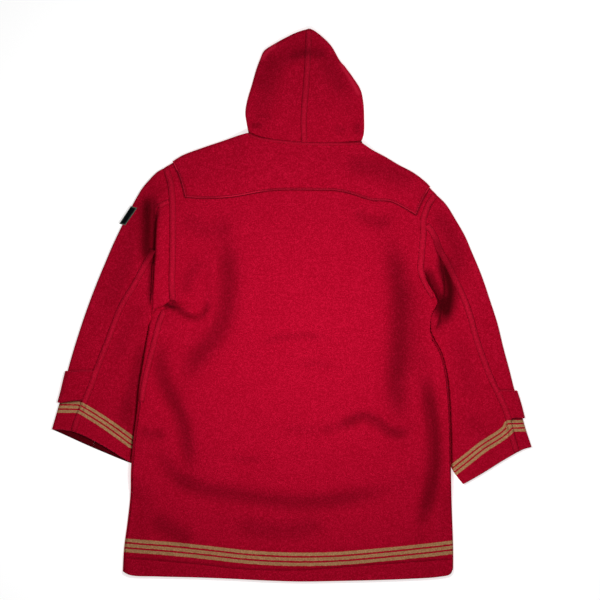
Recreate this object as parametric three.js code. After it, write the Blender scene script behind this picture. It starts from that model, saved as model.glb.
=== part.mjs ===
// A duffle coat of thick wool cloth, laid flat with its back up.
// Millimetres. +X runs to the wearer's right, +Y to the hood and +Z up from the surface that it lies on.
// Each part of the coat is a flattened tube: an upper and a lower layer that meet in rounded folds.
// The layers are patches stretched between four edge lines. The tube is then cut into its sewn pieces.
import * as THREE from "three";

// Cloth and folds
const CLOTH = 3; // wall of the wool cloth
const SEAM_GAP = 0.3; // between two pieces at a seam
const LAID_GAP = 0.3; // under a piece that lies on a panel
const OVERLAY = 2.6; // wall of the yoke and the cuff straps
const BADGE = 1.6; // wall of the badge
const FOLD_HEIGHT = 10; // two layers of cloth and the room inside a fold
const FOLD_REACH = 6; // from the fold's outer edge to where its top is level
const RISE = 55; // from there to the full height of the upper layer
const CROWN = 15; // full height of the upper layer
const HEM_HEIGHT = 9.9;
const HEM_REACH = 90;
const CUFF_HEIGHT = 9.6;
const FRONT_LAP = 32; // each front passes the centre by this much
const LAP_HEIGHT = 3.5; // underside of the right front where it lies on the left one
const OVER_SLEEVE = 14; // the body's side edge lies this high, over the sleeve
const LIFT_REACH = 40;
const LOWEST_TOP = 7; // of an upper layer, in a trough
const LOWEST_CENTRE_TOP = 9.8; // where the two fronts lap under it
const CENTRE = 0.06; // the lap and the step beside it lie within this share of the width from the middle
const CENTRE_CLEAR = 0.08; // and the back keeps clear of them within this one

// Hood
const HOOD_CROWN = 27;
const HOOD_NECK = 18;
const HOOD_FOLD = 13;
const HOOD_REACH = 7;
const HOOD_RISE = 60;
const NECK_RISE = 0.35; // share of the hood's height over which it rises from the neck to the crown

// Shares of the length from neck to hem that the rows of the body's patches are fitted to
const YOKE_SHARE = 0.08;
const PIT_SHARE = 0.34;
const YOKE_EDGE = 0.05; // share of the width at the yoke's side edges
const NECK_LEFT = 0.3; // and at the two ends of the neck seam
const NECK_RIGHT = 0.7;

// Edge lines of the body, as x and y
const SHOULDER_LEFT = [[-262, 313], [-241, 326], [-199, 342], [-149, 359], [-113, 372], [-96, 378]];
const NECK = [[-96, 378], [-81, 370], [-57, 364], [-13, 358], [29, 355], [77, 354], [121, 355], [152, 357]];
const SHOULDER_RIGHT = [[152, 357], [172, 341], [203, 324], [233, 306], [265, 289], [288, 272], [303, 258]];
const FRONT_NECK = [[-96, 378], [-81, 340], [-44, 300], [-4, 282], [28, 278], [62, 282], [104, 298],
  [138, 325], [152, 357]];
const ARMHOLE_LEFT = [[-283, 300], [-272, 265], [-268, 226], [-267, 160], [-268, 94], [-269, 43],
  [-267, 8]];
const ARMHOLE_RIGHT = [[320, 240], [305, 217], [296, 190], [291, 155], [289, 116], [290, 72], [294, 20],
  [304, -60]];
const YOKE_LINE = [[-235, 236], [-198, 234], [-150, 235], [-117, 239], [-68, 248], [-28, 252], [54, 252],
  [95, 251], [127, 245], [176, 230], [216, 227], [237, 218], [273, 197]];
const SIDE_LEFT = [[-267, 8], [-283, -1], [-300, -9], [-308, -20], [-312, -34], [-317, -63], [-326, -116],
  [-336, -179], [-341, -234], [-349, -298], [-354, -360], [-356, -419], [-363, -483], [-370, -536],
  [-373, -588]];
const SIDE_RIGHT = [[304, -60], [312, -76], [328, -105], [340, -151], [346, -210], [349, -298], [350, -386],
  [353, -474], [355, -536], [355, -582]];
const HEM = [[-373, -588], [-356, -596], [-295, -599], [-213, -601], [-134, -604], [-53, -608], [18, -610],
  [95, -609], [183, -607], [262, -604], [321, -600], [348, -594], [355, -582]];

// The side seams lie on top, this far in from the folded edge, at a few heights
const SIDE_SEAMS = [
  { y: 10, left: 22, right: 5 },
  { y: -70, left: 17, right: 5 },
  { y: -150, left: 9, right: 5 },
  { y: -240, left: 5, right: 5 },
  { y: -600, left: 4, right: 4 },
];

// Where the body's side edges lie over the sleeves.
// These are the heights y at which that starts, is full, is still full and ends.
const OVERLAPS = {
  left: { start: -5, full: -60, stillFull: -362, end: -436 },
  right: { start: -60, full: -105, stillFull: -376, end: -456 },
};

// Sleeve edge lines. The outer one is a fold, the inner one a fold that lies beside or under the body's side.
const SLEEVES = {
  left: {
    outer: [[-283, 300], [-297, 292], [-315, 274], [-330, 256], [-351, 220], [-373, 177], [-394, 133],
      [-409, 98], [-431, 45], [-451, -8], [-469, -61], [-485, -113], [-496, -153], [-506, -195],
      [-518, -237], [-529, -275]],
    seam: [[-268.5, 228], [-284, 221], [-297, 210], [-302, 175], [-306, 128], [-323, 94], [-348, 47],
      [-378, -3], [-408, -80], [-428, -131], [-446, -182], [-460, -215], [-473, -247], [-484, -279.5]],
    inner: [[-268.5, 9.5], [-284, 1], [-301.5, -7], [-310, -19], [-314, -34], [-318.5, -63], [-323, -116],
      [-328, -179], [-333, -234], [-341, -298], [-348, -352]],
    armholeSeam: [-268, 227],
    cuffOuter: [[-529, -275], [-505, -276.5], [-484, -279.5]],
    cuffInner: [[-484, -279.5], [-471, -284], [-439, -299], [-400, -321], [-368, -341], [-348, -352]],
    cuffUnder: [[-529, -275], [-504, -286], [-458, -307], [-409, -328], [-370, -344], [-348, -352]],
    strap: { outer: [[-496, -153], [-514, -214]], seam: [[-436, -145], [-459, -210]] },
    badge: [[-350, 220], [-374, 176]],
    outward: -1,
  },
  right: {
    outer: [[320, 240], [339, 221], [361, 186], [381, 151], [396, 116], [418, 63], [436, 10], [453, -43],
      [466, -96], [480, -148], [489, -184], [500, -219], [508, -250], [516, -278], [528, -314]],
    seam: [[295, 178], [312, 153], [325, 119], [339, 96], [359, 55], [379, 11], [391, -22], [403, -66],
      [420, -117], [440, -167], [456, -200], [473, -240], [483, -284], [495, -326]],
    inner: [[305, -60], [314, -71], [327, -98], [333, -130], [336, -165], [338, -210], [341, -298],
      [345, -340], [352, -362], [364, -380], [377, -396]],
    armholeSeam: [294, 178],
    cuffOuter: [[528, -314], [512, -318], [495, -326]],
    cuffInner: [[495, -326], [464, -344], [429, -366], [402, -382], [377, -396]],
    cuffUnder: [[528, -314], [512, -318], [492, -328], [464, -344], [429, -366], [402, -382], [377, -396]],
    strap: { outer: [[495, -189], [515, -250]], seam: [[454, -189], [477, -253]] },
    outward: 1,
  },
};
const STRAP_SHARES = [0.8, 0.88];
const BADGE_SHARES = [0.17, 0.243];
const BADGE_WIDTH = 14;
const OUTER_WIDTH = 75; // of the sleeve's outer half where the badge is

// Hood edge lines
const HOOD_SEAM = [[27, 356], [26, 413], [30, 469], [34, 525], [36, 570], [38, 608]];
const HOOD_SIDES = {
  left: {
    fold: [[-96, 378], [-100, 399], [-103, 421], [-99, 448], [-89, 482], [-78, 520], [-70, 541]],
    top: [[-70, 541], [-62, 558], [-35, 576], [-13, 588], [10, 599], [38, 608]],
    face: [[-26, 289], [-14, 340], [2, 430], [12, 500], [24, 550], [34, 582], [38, 608]],
    neck: [0, 0.475],
    frontNeck: [0, 0.4],
  },
  right: {
    fold: [[152, 357], [158, 374], [159, 413], [157, 446], [151, 473], [133, 502], [116, 525]],
    top: [[116, 525], [106, 536], [86, 570], [66, 590], [46, 605], [38, 608]],
    face: [[84, 289], [76, 340], [62, 430], [54, 500], [46, 550], [41, 582], [38, 608]],
    neck: [1, 0.475],
    frontNeck: [1, 0.63],
  },
};

// Troughs (depth below zero) and ridges of the upper layers.
// The depth has fallen to about a third at the width.
const BODY_FOLDS = [
  { what: "left chest trough", width: 24, depth: -4,
    path: [[-154, 182], [-137, 120], [-134, 43], [-150, -34], [-185, -105], [-229, -162]] },
  { what: "left chest ridge", width: 15, depth: 2.5,
    path: [[-167, 153], [-161, 98], [-158, 21], [-174, -45], [-215, -112], [-255, -148]] },
  { what: "left side trough", width: 18, depth: -4,
    path: [[-284, -82], [-290, -140], [-266, -210], [-238, -263], [-229, -320], [-240, -355]] },
  { what: "left dent", width: 14, depth: -3, path: [[-317, -285], [-295, -289], [-277, -298]] },
  { what: "long low sweep", width: 22, depth: -3.5,
    path: [[-282, -346], [-255, -386], [-202, -410], [-114, -426], [18, -441], [117, -432], [205, -413]] },
  { what: "lower sweep", width: 26, depth: -2, path: [[-150, -483], [-70, -501], [18, -501], [92, -474]] },
  { what: "left hem corner", width: 24, depth: -3, path: [[-321, -470], [-268, -505], [-213, -531]] },
  { what: "right chest trough", width: 22, depth: -3.5,
    path: [[202, 177], [229, 98], [238, 10], [242, -78], [238, -166], [244, -245]] },
  { what: "curl under the yoke", width: 12, depth: -2.5,
    path: [[132, 217], [163, 190], [198, 182], [224, 201]] },
  { what: "right wave", width: 12, depth: -3,
    path: [[119, -263], [158, -245], [202, -265], [238, -280], [268, -270]] },
  { what: "right side trough", width: 14, depth: -4.5,
    path: [[288, -157], [304, -232], [312, -331], [317, -430], [299, -509]] },
  { what: "waist crease", width: 13, depth: -1.5, path: [[-79, -80], [-9, -69], [66, -72]] },
  { what: "middle crease", width: 13, depth: -1.5, path: [[-35, -276], [62, -280], [114, -265]] },
  { what: "shoulder trough", width: 20, depth: -2.5, path: [[97, 318], [194, 300], [290, 265]] },
  { what: "left shoulder blade", width: 14, depth: -2.5,
    path: [[-255, 205], [-215, 175], [-170, 160], [-130, 190]] },
];
const SLEEVE_FOLDS = [
  { what: "left trough by the roll", width: 15, depth: -5.5,
    path: [[-309, 220], [-316, 175], [-322, 120], [-316, 60]] },
  { what: "left elbow", width: 22, depth: -2.5, path: [[-330, 20], [-372, -60], [-392, -140]] },
  { what: "left forearm", width: 20, depth: -2, path: [[-360, -190], [-385, -255], [-395, -300]] },
  { what: "right head trough", width: 12, depth: -4, path: [[330, 180], [345, 165], [352, 130]] },
  { what: "right trough by the roll", width: 15, depth: -5.5,
    path: [[334, 130], [350, 58], [350, 10], [336, -50]] },
  { what: "right elbow", width: 22, depth: -2.5, path: [[360, -60], [384, -130], [400, -220]] },
  { what: "right forearm", width: 20, depth: -2, path: [[385, -240], [420, -290], [440, -330]] },
];
const HOOD_FOLDS = [
  { what: "trough below the tip", width: 14, depth: -4, path: [[-9, 556], [35, 551], [84, 558]] },
  { what: "left neck crease", width: 9, depth: -3, path: [[-98, 418], [-70, 425], [-40, 421]] },
  { what: "left lower crease", width: 8, depth: -2.5, path: [[-92, 400], [-75, 392], [-62, 384]] },
  { what: "right neck crease", width: 9, depth: -3, path: [[100, 394], [130, 384], [156, 364]] },
];

// Lips are folds with one steep side. Seen along the path, the high side is on the left.
const LIPS = [
  { what: "left under-sleeve roll", on: "sleeves", height: 8, steep: 8, fade: 44,
    path: [[-286, 196], [-293, 165], [-297, 120], [-300, 54], [-302, 0]] },
  { what: "right under-sleeve roll", on: "sleeves", height: 8, steep: 9, fade: 42,
    path: [[318, -50], [330, -19], [337, 25], [336, 58], [327, 118], [314, 150]] },
  { what: "left armpit crease", on: "body", height: 5, steep: 8, fade: 40,
    path: [[-259, 4], [-240, -14], [-224, -27], [-205, -22]] },
];

const LENGTH_STEPS = 600; // that a line's length is measured in

// A smooth line through points, as a function of the share of its length
function line(points) {
  const places = points.map(([x, y]) => new THREE.Vector3(x, y, 0));
  const curve = new THREE.CatmullRomCurve3(places, false, "centripetal");
  curve.arcLengthDivisions = LENGTH_STEPS;
  return (share) => curve.getPointAt(Math.min(1, Math.max(0, share)));
}

// Straight chords between points of a line, so that neighbours with other steps still meet along it
const chords = (along, shares) => chain(...shares.slice(1).map((to, i) => (
  { to, along: line([xy(along(shares[i])), xy(along(to))]) })));
const xy = (point) => [point.x, point.y];

// The same line from one share of its length to another
const stretch = (along, from, to) => (share) => along(from + (to - from) * share);

const SEARCH_STEPS = 400;

// The share of a line's length that lies nearest a point
function shareNear(along, [x, y]) {
  const point = new THREE.Vector3(x, y, 0);
  const gaps = Array.from({ length: SEARCH_STEPS + 1 }, (_, i) => along(i / SEARCH_STEPS).distanceTo(point));
  return gaps.indexOf(Math.min(...gaps)) / SEARCH_STEPS;
}

const ROUNDING = 1e-9;

// Lines joined end to end, each with the share of the whole at which it ends
function chain(...links) {
  return (share) => {
    const i = links.findIndex((link) => share <= link.to + ROUNDING);
    const from = i > 0 ? links[i - 1].to : 0;
    return links[i].along((share - from) / (links[i].to - from));
  };
}

// A line timed so that it reaches the given points at the given shares
function timed(along, marks) {
  const stops = marks.map((mark) => ({ to: mark.share, at: shareNear(along, mark.point) }));
  stops.push({ to: 1, at: 1 });
  return chain(...stops.map((stop, i) => {
    const from = i > 0 ? stops[i - 1].at : 0;
    return { to: stop.to, along: stretch(along, from, stop.at) };
  }));
}

// A patch between four lines: u runs along top and bottom, v along the two sides
function patch(top, bottom, left, right) {
  const corners = [top(0), top(1), bottom(0), bottom(1)];
  return (u, v) => {
    const point = top(u).multiplyScalar(1 - v).addScaledVector(bottom(u), v);
    point.addScaledVector(left(v), 1 - u).addScaledVector(right(v), u);
    point.addScaledVector(corners[0], -(1 - u) * (1 - v)).addScaledVector(corners[1], -u * (1 - v));
    return point.addScaledVector(corners[2], -(1 - u) * v).addScaledVector(corners[3], -u * v);
  };
}

const smooth = (x) => THREE.MathUtils.smoothstep(x, 0, 1);
const mix = THREE.MathUtils.lerp;

// Distance from a point to a path, the side it lies on and how far along the path is nearest.
// Side 1 is left of the way along the path.
function nearestOn(path, x, y) {
  let best = { gap: Infinity, side: 1, share: 0 };
  for (let i = 0; i + 1 < path.length; i++) {
    const dx = path[i + 1].x - path[i].x;
    const dy = path[i + 1].y - path[i].y;
    const passed = ((x - path[i].x) * dx + (y - path[i].y) * dy) / (dx * dx + dy * dy);
    const t = THREE.MathUtils.clamp(passed, 0, 1);
    const gap = Math.hypot(x - path[i].x - t * dx, y - path[i].y - t * dy);
    if (gap < best.gap) {
      const side = dx * (y - path[i].y) - dy * (x - path[i].x) < 0 ? -1 : 1;
      best = { gap, side, share: (i + t) / (path.length - 1) };
    }
  }
  return best;
}

const PATH_STEPS = 24;
const FADE_ENDS = 0.25; // share of a path over which it fades at each end
const LEAST_FADE = 0.35; // a fold keeps this share of its depth at its ends

function withSteps(rows) {
  return rows.map((row) => {
    const along = line(row.path);
    return { ...row, steps: Array.from({ length: PATH_STEPS + 1 }, (_, i) => along(i / PATH_STEPS)) };
  });
}

const fadeEnds = (share) => smooth(Math.min(share, 1 - share) / FADE_ENDS);

function foldsAt(rows, x, y) {
  let height = 0;
  for (const row of rows) {
    const { gap, share } = nearestOn(row.steps, x, y);
    height += row.depth * Math.exp(-((gap / row.width) ** 2)) * Math.max(LEAST_FADE, fadeEnds(share));
  }
  return height;
}

function lipsAt(rows, x, y) {
  let height = 0;
  for (const row of rows) {
    const { gap, side, share } = nearestOn(row.steps, x, y);
    const shape = smooth(gap / row.steep) * (1 - smooth(gap / row.fade)) * fadeEnds(share);
    height += side > 0 ? row.height * shape : 0;
  }
  return height;
}

// How far a layer has bent away from a fold's outer edge, from 0 at that edge to 1 where it is level.
// The edge itself lies half way between the fold's underside and its top.
const bow = (distance, reach) => Math.sqrt(Math.max(0, 1 - Math.max(0, 1 - distance / reach) ** 2));

function upperNear(height, distance, under, thick, reach = FOLD_REACH) {
  const middle = under + thick / 2;
  const inside = mix(under + thick, height, smooth((distance - reach) / RISE));
  return middle + (inside - middle) * bow(distance, reach);
}

function lowerNear(distance, under, thick, reach = FOLD_REACH) {
  const middle = under + thick / 2;
  return middle - (middle - under * (1 - smooth(distance / LIFT_REACH))) * bow(distance, reach);
}

const SAME_PLACE = 0.00217; // points closer than this are one

// Rows of points become one surface per part of the coat. Points that lie in the same place are shared.
class Weave {
  constructor() {
    this.points = [];
    this.faces = [];
    this.known = new Map();
  }

  pointAt(point) {
    const key = [point.x, point.y, point.z].map((value) => Math.round(value / SAME_PLACE)).join();
    if (!this.known.has(key)) {
      this.known.set(key, this.points.length);
      this.points.push(point.clone());
    }
    return this.known.get(key);
  }

  // A grid of rows. Its faces look up, or down for an underside. Faces may be left out.
  add(piece, rows, looksUp, leftOut = () => false) {
    const ids = rows.map((row) => row.map((point) => this.pointAt(point)));
    const mid = Math.floor(rows.length / 2);
    const across = rows[mid][rows[mid].length - 1].clone().sub(rows[mid][0]);
    const down = rows[rows.length - 1][0].clone().sub(rows[0][0]);
    const flip = (down.cross(across).z > 0) !== looksUp;
    const grid = [];
    for (let r = 0; r + 1 < ids.length; r++) {
      grid.push([]);
      for (let c = 0; c + 1 < ids[r].length; c++) {
        const face = [ids[r][c], ids[r + 1][c], ids[r + 1][c + 1], ids[r][c + 1]];
        if (flip) face.reverse();
        const corners = face.filter((id, i) => id !== face[(i + 1) % face.length]);
        if (corners.length > 2 && !leftOut(r, c)) {
          this.faces.push({ piece, corners });
          grid[r].push(corners);
        }
      }
    }
    return grid;
  }

  // The direction out of the cloth at each point, from all the faces round it
  directions() {
    const out = this.points.map(() => new THREE.Vector3());
    for (const { corners } of this.faces) {
      const across = this.points[corners[2]].clone().sub(this.points[corners[0]]);
      const other = this.points[corners[corners.length - 1]].clone().sub(this.points[corners[1]]);
      const normal = across.cross(other);
      for (const id of corners) out[id].add(normal);
    }
    return out.map((normal) => normal.normalize());
  }

  // A closed wall over some faces, from outer to inner millimetres along the directions.
  // It is drawn in a little at its rim.
  solid(faces, outer, inner, drawnIn = SEAM_GAP) {
    const out = this.directions();
    const used = [...new Set(faces.flat())];
    const place = new Map(used.map((id, i) => [id, i]));
    const edges = new Map();
    for (const face of faces) {
      face.forEach((id, i) => {
        const next = face[(i + 1) % face.length];
        edges.set(id + ">" + next, [id, next]);
      });
    }
    const rim = [...edges.values()].filter(([a, b]) => !edges.has(b + ">" + a));
    const onRim = new Set(rim.flat());
    const middles = new Map(used.map((id) => [id, new THREE.Vector3()]));
    for (const face of faces) {
      const middle = new THREE.Vector3();
      for (const id of face) middle.addScaledVector(this.points[id], 1 / face.length);
      for (const id of face) middles.get(id).add(middle.clone().sub(this.points[id]).normalize());
    }
    const base = used.map((id) => {
      const point = this.points[id].clone();
      return onRim.has(id) ? point.addScaledVector(middles.get(id).normalize(), drawnIn) : point;
    });
    const positions = [outer, inner].flatMap((depth) =>
      used.flatMap((id, i) => base[i].clone().addScaledVector(out[id], depth).toArray()));
    const triangles = [];
    const n = used.length;
    for (const face of faces) {
      const at = face.map((id) => place.get(id));
      for (let i = 1; i + 1 < at.length; i++) {
        triangles.push(at[0], at[i], at[i + 1]);
        triangles.push(at[i + 1] + n, at[i] + n, at[0] + n);
      }
    }
    for (const [a, b] of rim) {
      const [i, j] = [place.get(a), place.get(b)];
      triangles.push(j, i, i + n, j, i + n, j + n);
    }
    const geometry = new THREE.BufferGeometry();
    geometry.setAttribute("position", new THREE.Float32BufferAttribute(positions, 3));
    geometry.setIndex(triangles);
    geometry.computeVertexNormals();
    return geometry;
  }

  piece(name) {
    return this.faces.filter((face) => face.piece === name).map((face) => face.corners);
  }
}

const wool = () => new THREE.MeshStandardMaterial({ color: 0xb00c2c, roughness: 0.95, metalness: 0 });
const plainBlack = () => new THREE.MeshStandardMaterial({ color: 0x0b0c0e, roughness: 0.8, metalness: 0 });
const coat = new THREE.Group();

function addPiece(name, geometry, material = wool()) {
  const mesh = new THREE.Mesh(geometry, material);
  mesh.name = name;
  coat.add(mesh);
}

const gridOf = (vs, us, at) => vs.map((v) => us.map((u) => at(u, v)));

// Body

const bodyFolds = withSteps(BODY_FOLDS);
const bodyLips = withSteps(LIPS.filter((row) => row.on === "body"));
const DOWN = [0, 0.001, 0.003, 0.0065, 0.022, 0.05, YOKE_SHARE, 0.12, 0.165, 0.21, 0.255, 0.3, PIT_SHARE,
  0.352, 0.365, 0.385, 0.42, 0.46, 0.5, 0.54, 0.58, 0.62, 0.66, 0.7, 0.74, 0.78, 0.82, 0.86, 0.9, 0.94,
  0.975, 1];
const YOKE_ON_ARMHOLE = { left: 0.24, right: 0.16 }; // share of the armhole at the yoke's lower edge
const abovePit = DOWN.filter((v) => v <= PIT_SHARE);
const armholeShare = (v, atYoke) =>
  v <= YOKE_SHARE ? (v / YOKE_SHARE) * atYoke : mix(atYoke, 1, (v - YOKE_SHARE) / (PIT_SHARE - YOKE_SHARE));
const armholeSteps = (side) => abovePit.map((v) => armholeShare(v, YOKE_ON_ARMHOLE[side]));
const armholes = {
  left: chords(line(ARMHOLE_LEFT), armholeSteps("left")),
  right: chords(line(ARMHOLE_RIGHT), armholeSteps("right")),
};
const sideOf = (side, below) => chain(
  { along: stretch(armholes[side], 0, YOKE_ON_ARMHOLE[side]), to: YOKE_SHARE },
  { along: stretch(armholes[side], YOKE_ON_ARMHOLE[side], 1), to: PIT_SHARE },
  { along: line(below), to: 1 },
);
const bodyLeft = sideOf("left", SIDE_LEFT);
const bodyRight = sideOf("right", SIDE_RIGHT);
const hem = line(HEM);
const NECK_STEPS = [0, 0.175, 0.35, 0.5, 0.65, 0.825, 1];
const neckLine = chords(line(NECK), NECK_STEPS);
const frontNeckLine = chords(line(FRONT_NECK), NECK_STEPS);
const shoulders = (neck) => chain(
  { along: line([ARMHOLE_LEFT[0], SHOULDER_LEFT[0]]), to: YOKE_EDGE },
  { along: line(SHOULDER_LEFT), to: NECK_LEFT },
  { along: neck, to: NECK_RIGHT },
  { along: line(SHOULDER_RIGHT), to: 1 - YOKE_EDGE },
  { along: line([SHOULDER_RIGHT.at(-1), ARMHOLE_RIGHT[0]]), to: 1 },
);
const yokeRow = chain(
  { along: line([xy(bodyLeft(YOKE_SHARE)), YOKE_LINE[0]]), to: YOKE_EDGE },
  { along: line(YOKE_LINE), to: 1 - YOKE_EDGE },
  { along: line([YOKE_LINE.at(-1), xy(bodyRight(YOKE_SHARE))]), to: 1 },
);
const sides = (from, to) => [stretch(bodyLeft, from, to), stretch(bodyRight, from, to)];
const overYoke = patch(shoulders(neckLine), yokeRow, ...sides(0, YOKE_SHARE));
const underYoke = patch(yokeRow, hem, ...sides(YOKE_SHARE, 1));
const backPlan = (u, v) =>
  v <= YOKE_SHARE ? overYoke(u, v / YOKE_SHARE) : underYoke(u, (v - YOKE_SHARE) / (1 - YOKE_SHARE));
const frontPlan = patch(shoulders(frontNeckLine), hem, bodyLeft, bodyRight);

const overlapAt = ({ start, full, stillFull, end }, y) =>
  OVER_SLEEVE * smooth((start - y) / (start - full)) * smooth((y - end) / (stillFull - end));

function sideSeamAt(side, y) {
  const i = Math.max(1, SIDE_SEAMS.findIndex((row) => row.y <= y));
  const [above, below] = [SIDE_SEAMS[i - 1], SIDE_SEAMS[i]];
  return mix(above[side], below[side], THREE.MathUtils.clamp((above.y - y) / (above.y - below.y), 0, 1));
}

const BODY_LENGTH = 960;
const BODY_WIDTH = 640;
const NECK_OPENS = 0.03; // share of the width outside the neck's ends where the layers start to part
const NECK_OPENING = 0.025; // and over which they do
// 1 along the shoulders, where the two layers meet in a fold, and 0 at the neck, which is open
const shoulderAt = (u) => 1 - smooth((Math.min(u, 1 - u) - NECK_LEFT + NECK_OPENS) / NECK_OPENING);

function backHeight(u, v) {
  const point = backPlan(u, v);
  const left = bodyLeft(v);
  const right = bodyRight(v);
  const width = left.distanceTo(right);
  const aboveHem = (1 - v) * BODY_LENGTH;
  let height = CROWN + foldsAt(bodyFolds, point.x, point.y) + lipsAt(bodyLips, point.x, point.y);
  height = Math.max(height, Math.abs(u - 0.5) < CENTRE_CLEAR ? LOWEST_CENTRE_TOP : LOWEST_TOP);
  height = mix(HEM_HEIGHT, height, smooth(aboveHem / HEM_REACH));
  if (v > PIT_SHARE) {
    height = upperNear(height, u * width, overlapAt(OVERLAPS.left, left.y), FOLD_HEIGHT);
    height = upperNear(height, (1 - u) * width, overlapAt(OVERLAPS.right, right.y), FOLD_HEIGHT);
  }
  const atShoulder = upperNear(height, v * BODY_LENGTH, 0, FOLD_HEIGHT);
  return mix(height, atShoulder, shoulderAt(u));
}

function frontHeight(u, v, lapped) {
  const left = bodyLeft(v);
  const right = bodyRight(v);
  const width = left.distanceTo(right);
  let height = lapped;
  if (v > PIT_SHARE) {
    height += lowerNear(u * width, overlapAt(OVERLAPS.left, left.y), FOLD_HEIGHT);
    height += lowerNear((1 - u) * width, overlapAt(OVERLAPS.right, right.y), FOLD_HEIGHT);
  }
  const atShoulder = lowerNear(v * BODY_LENGTH, 0, FOLD_HEIGHT);
  return mix(height, Math.max(height, atShoulder), shoulderAt(u));
}

const lift = (point, height) => point.setZ(height);

const LAP_STEP = 0.5 - CENTRE; // the right front steps up here, onto the left one
const HALF = [0, 0.0015, 0.005, 0.011, 0.03, YOKE_EDGE, 0.1, 0.16, 0.23, NECK_LEFT, 0.37, LAP_STEP];
const ACROSS = [...HALF, 0.5, ...HALF.map((u) => 1 - u).reverse()];
const belowPit = DOWN.filter((v) => v > PIT_SHARE);
const WRAP = [0, 0.06, 0.3, 1]; // shares of the way from the folded edge to the side seam

const CLIPPED = 3; // faces left out each way at a front's shoulder corner, under the sleeve head

const body = new Weave();

function backPoint(share, v) {
  const width = bodyLeft(v).distanceTo(bodyRight(v));
  const seamLeft = v > PIT_SHARE ? sideSeamAt("left", bodyLeft(v).y) / width : 0;
  const seamRight = v > PIT_SHARE ? sideSeamAt("right", bodyRight(v).y) / width : 0;
  const u = mix(seamLeft, 1 - seamRight, share);
  return lift(backPlan(u, v), backHeight(u, v));
}
const nearEdge = HALF.slice(1, 3); // columns that only the fronts need, in their folds
const backAcross = ACROSS.filter((u) => !nearEdge.some((near) => near === u || 1 - near === u));
const backGrid = body.add("back", gridOf(DOWN, backAcross, backPoint), true);

for (const side of ["left", "right"]) {
  const fromLeft = (u) => (side === "left" ? u : 1 - u);
  const lap = FRONT_LAP / BODY_WIDTH;
  const columns = side === "left" ? [...HALF, 0.5, 0.5 + lap] : [...HALF, 0.5 - lap, 0.5, 0.5 + lap];
  const lapped = (u) => (side === "right" && u > LAP_STEP ? LAP_HEIGHT : 0);
  const under = gridOf(DOWN, columns, (column, v) => {
    const u = fromLeft(column);
    return lift(frontPlan(u, v), frontHeight(u, v, lapped(column)));
  });
  body.add("front_" + side, under, false, (r, c) => r < CLIPPED && c < CLIPPED);
  const over = gridOf(belowPit, WRAP, (share, v) => {
    const width = bodyLeft(v).distanceTo(bodyRight(v));
    const edge = side === "left" ? bodyLeft(v) : bodyRight(v);
    const u = fromLeft((share * sideSeamAt(side, edge.y)) / width);
    return lift(backPlan(u, v), backHeight(u, v));
  });
  body.add("front_" + side, over, true, (r, c) => r === 0 && c === WRAP.length - 2);
}

for (const name of ["back", "front_left", "front_right"]) {
  addPiece(name, body.solid(body.piece(name), 0, -CLOTH));
}

const yokeRows = DOWN.indexOf(YOKE_SHARE);
const firstYoke = backAcross.indexOf(YOKE_EDGE);
const yokeFaces = backGrid.slice(0, yokeRows).flatMap((row) => row.slice(firstYoke, row.length - firstYoke));
addPiece("back_yoke", body.solid(yokeFaces, LAID_GAP + OVERLAY, LAID_GAP));

// Sleeves

const sleeveFolds = withSteps(SLEEVE_FOLDS);
const sleeveLips = withSteps(LIPS.filter((row) => row.on === "sleeves"));
const SLEEVE_DOWN = [0, 0.03, 0.055, 0.075, 0.09, 0.105, 0.13, ...BADGE_SHARES, 0.32, 0.4, 0.48, 0.56,
  0.64, 0.72, ...STRAP_SHARES, 0.94, 1];
const OUTER_ACROSS = [0, 0.01, 0.035, 0.08, 0.2, 0.45, 0.72, 1];
const INNER_ACROSS = [0, 0.2, 0.4, 0.6, 0.78, 0.9, 0.96, 0.985, 0.995, 1];
const OUTER_UNDER = [0, 0.01, 0.035, 0.08, 0.35, 0.65, 1];
const INNER_UNDER = [0, 0.3, 0.6, 0.9, 0.96, 0.985, 0.995, 1];
const ARMHOLE_SHIFT = 0.6; // keeps the sleeve clear of the body along the armhole
const CUFF_LEVEL = 0.9; // share of the sleeve's length at which it has come down to the cuff's height
const FOLDS_FADE = 6; // power of the share of the length with which folds fade towards the cuff

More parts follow.
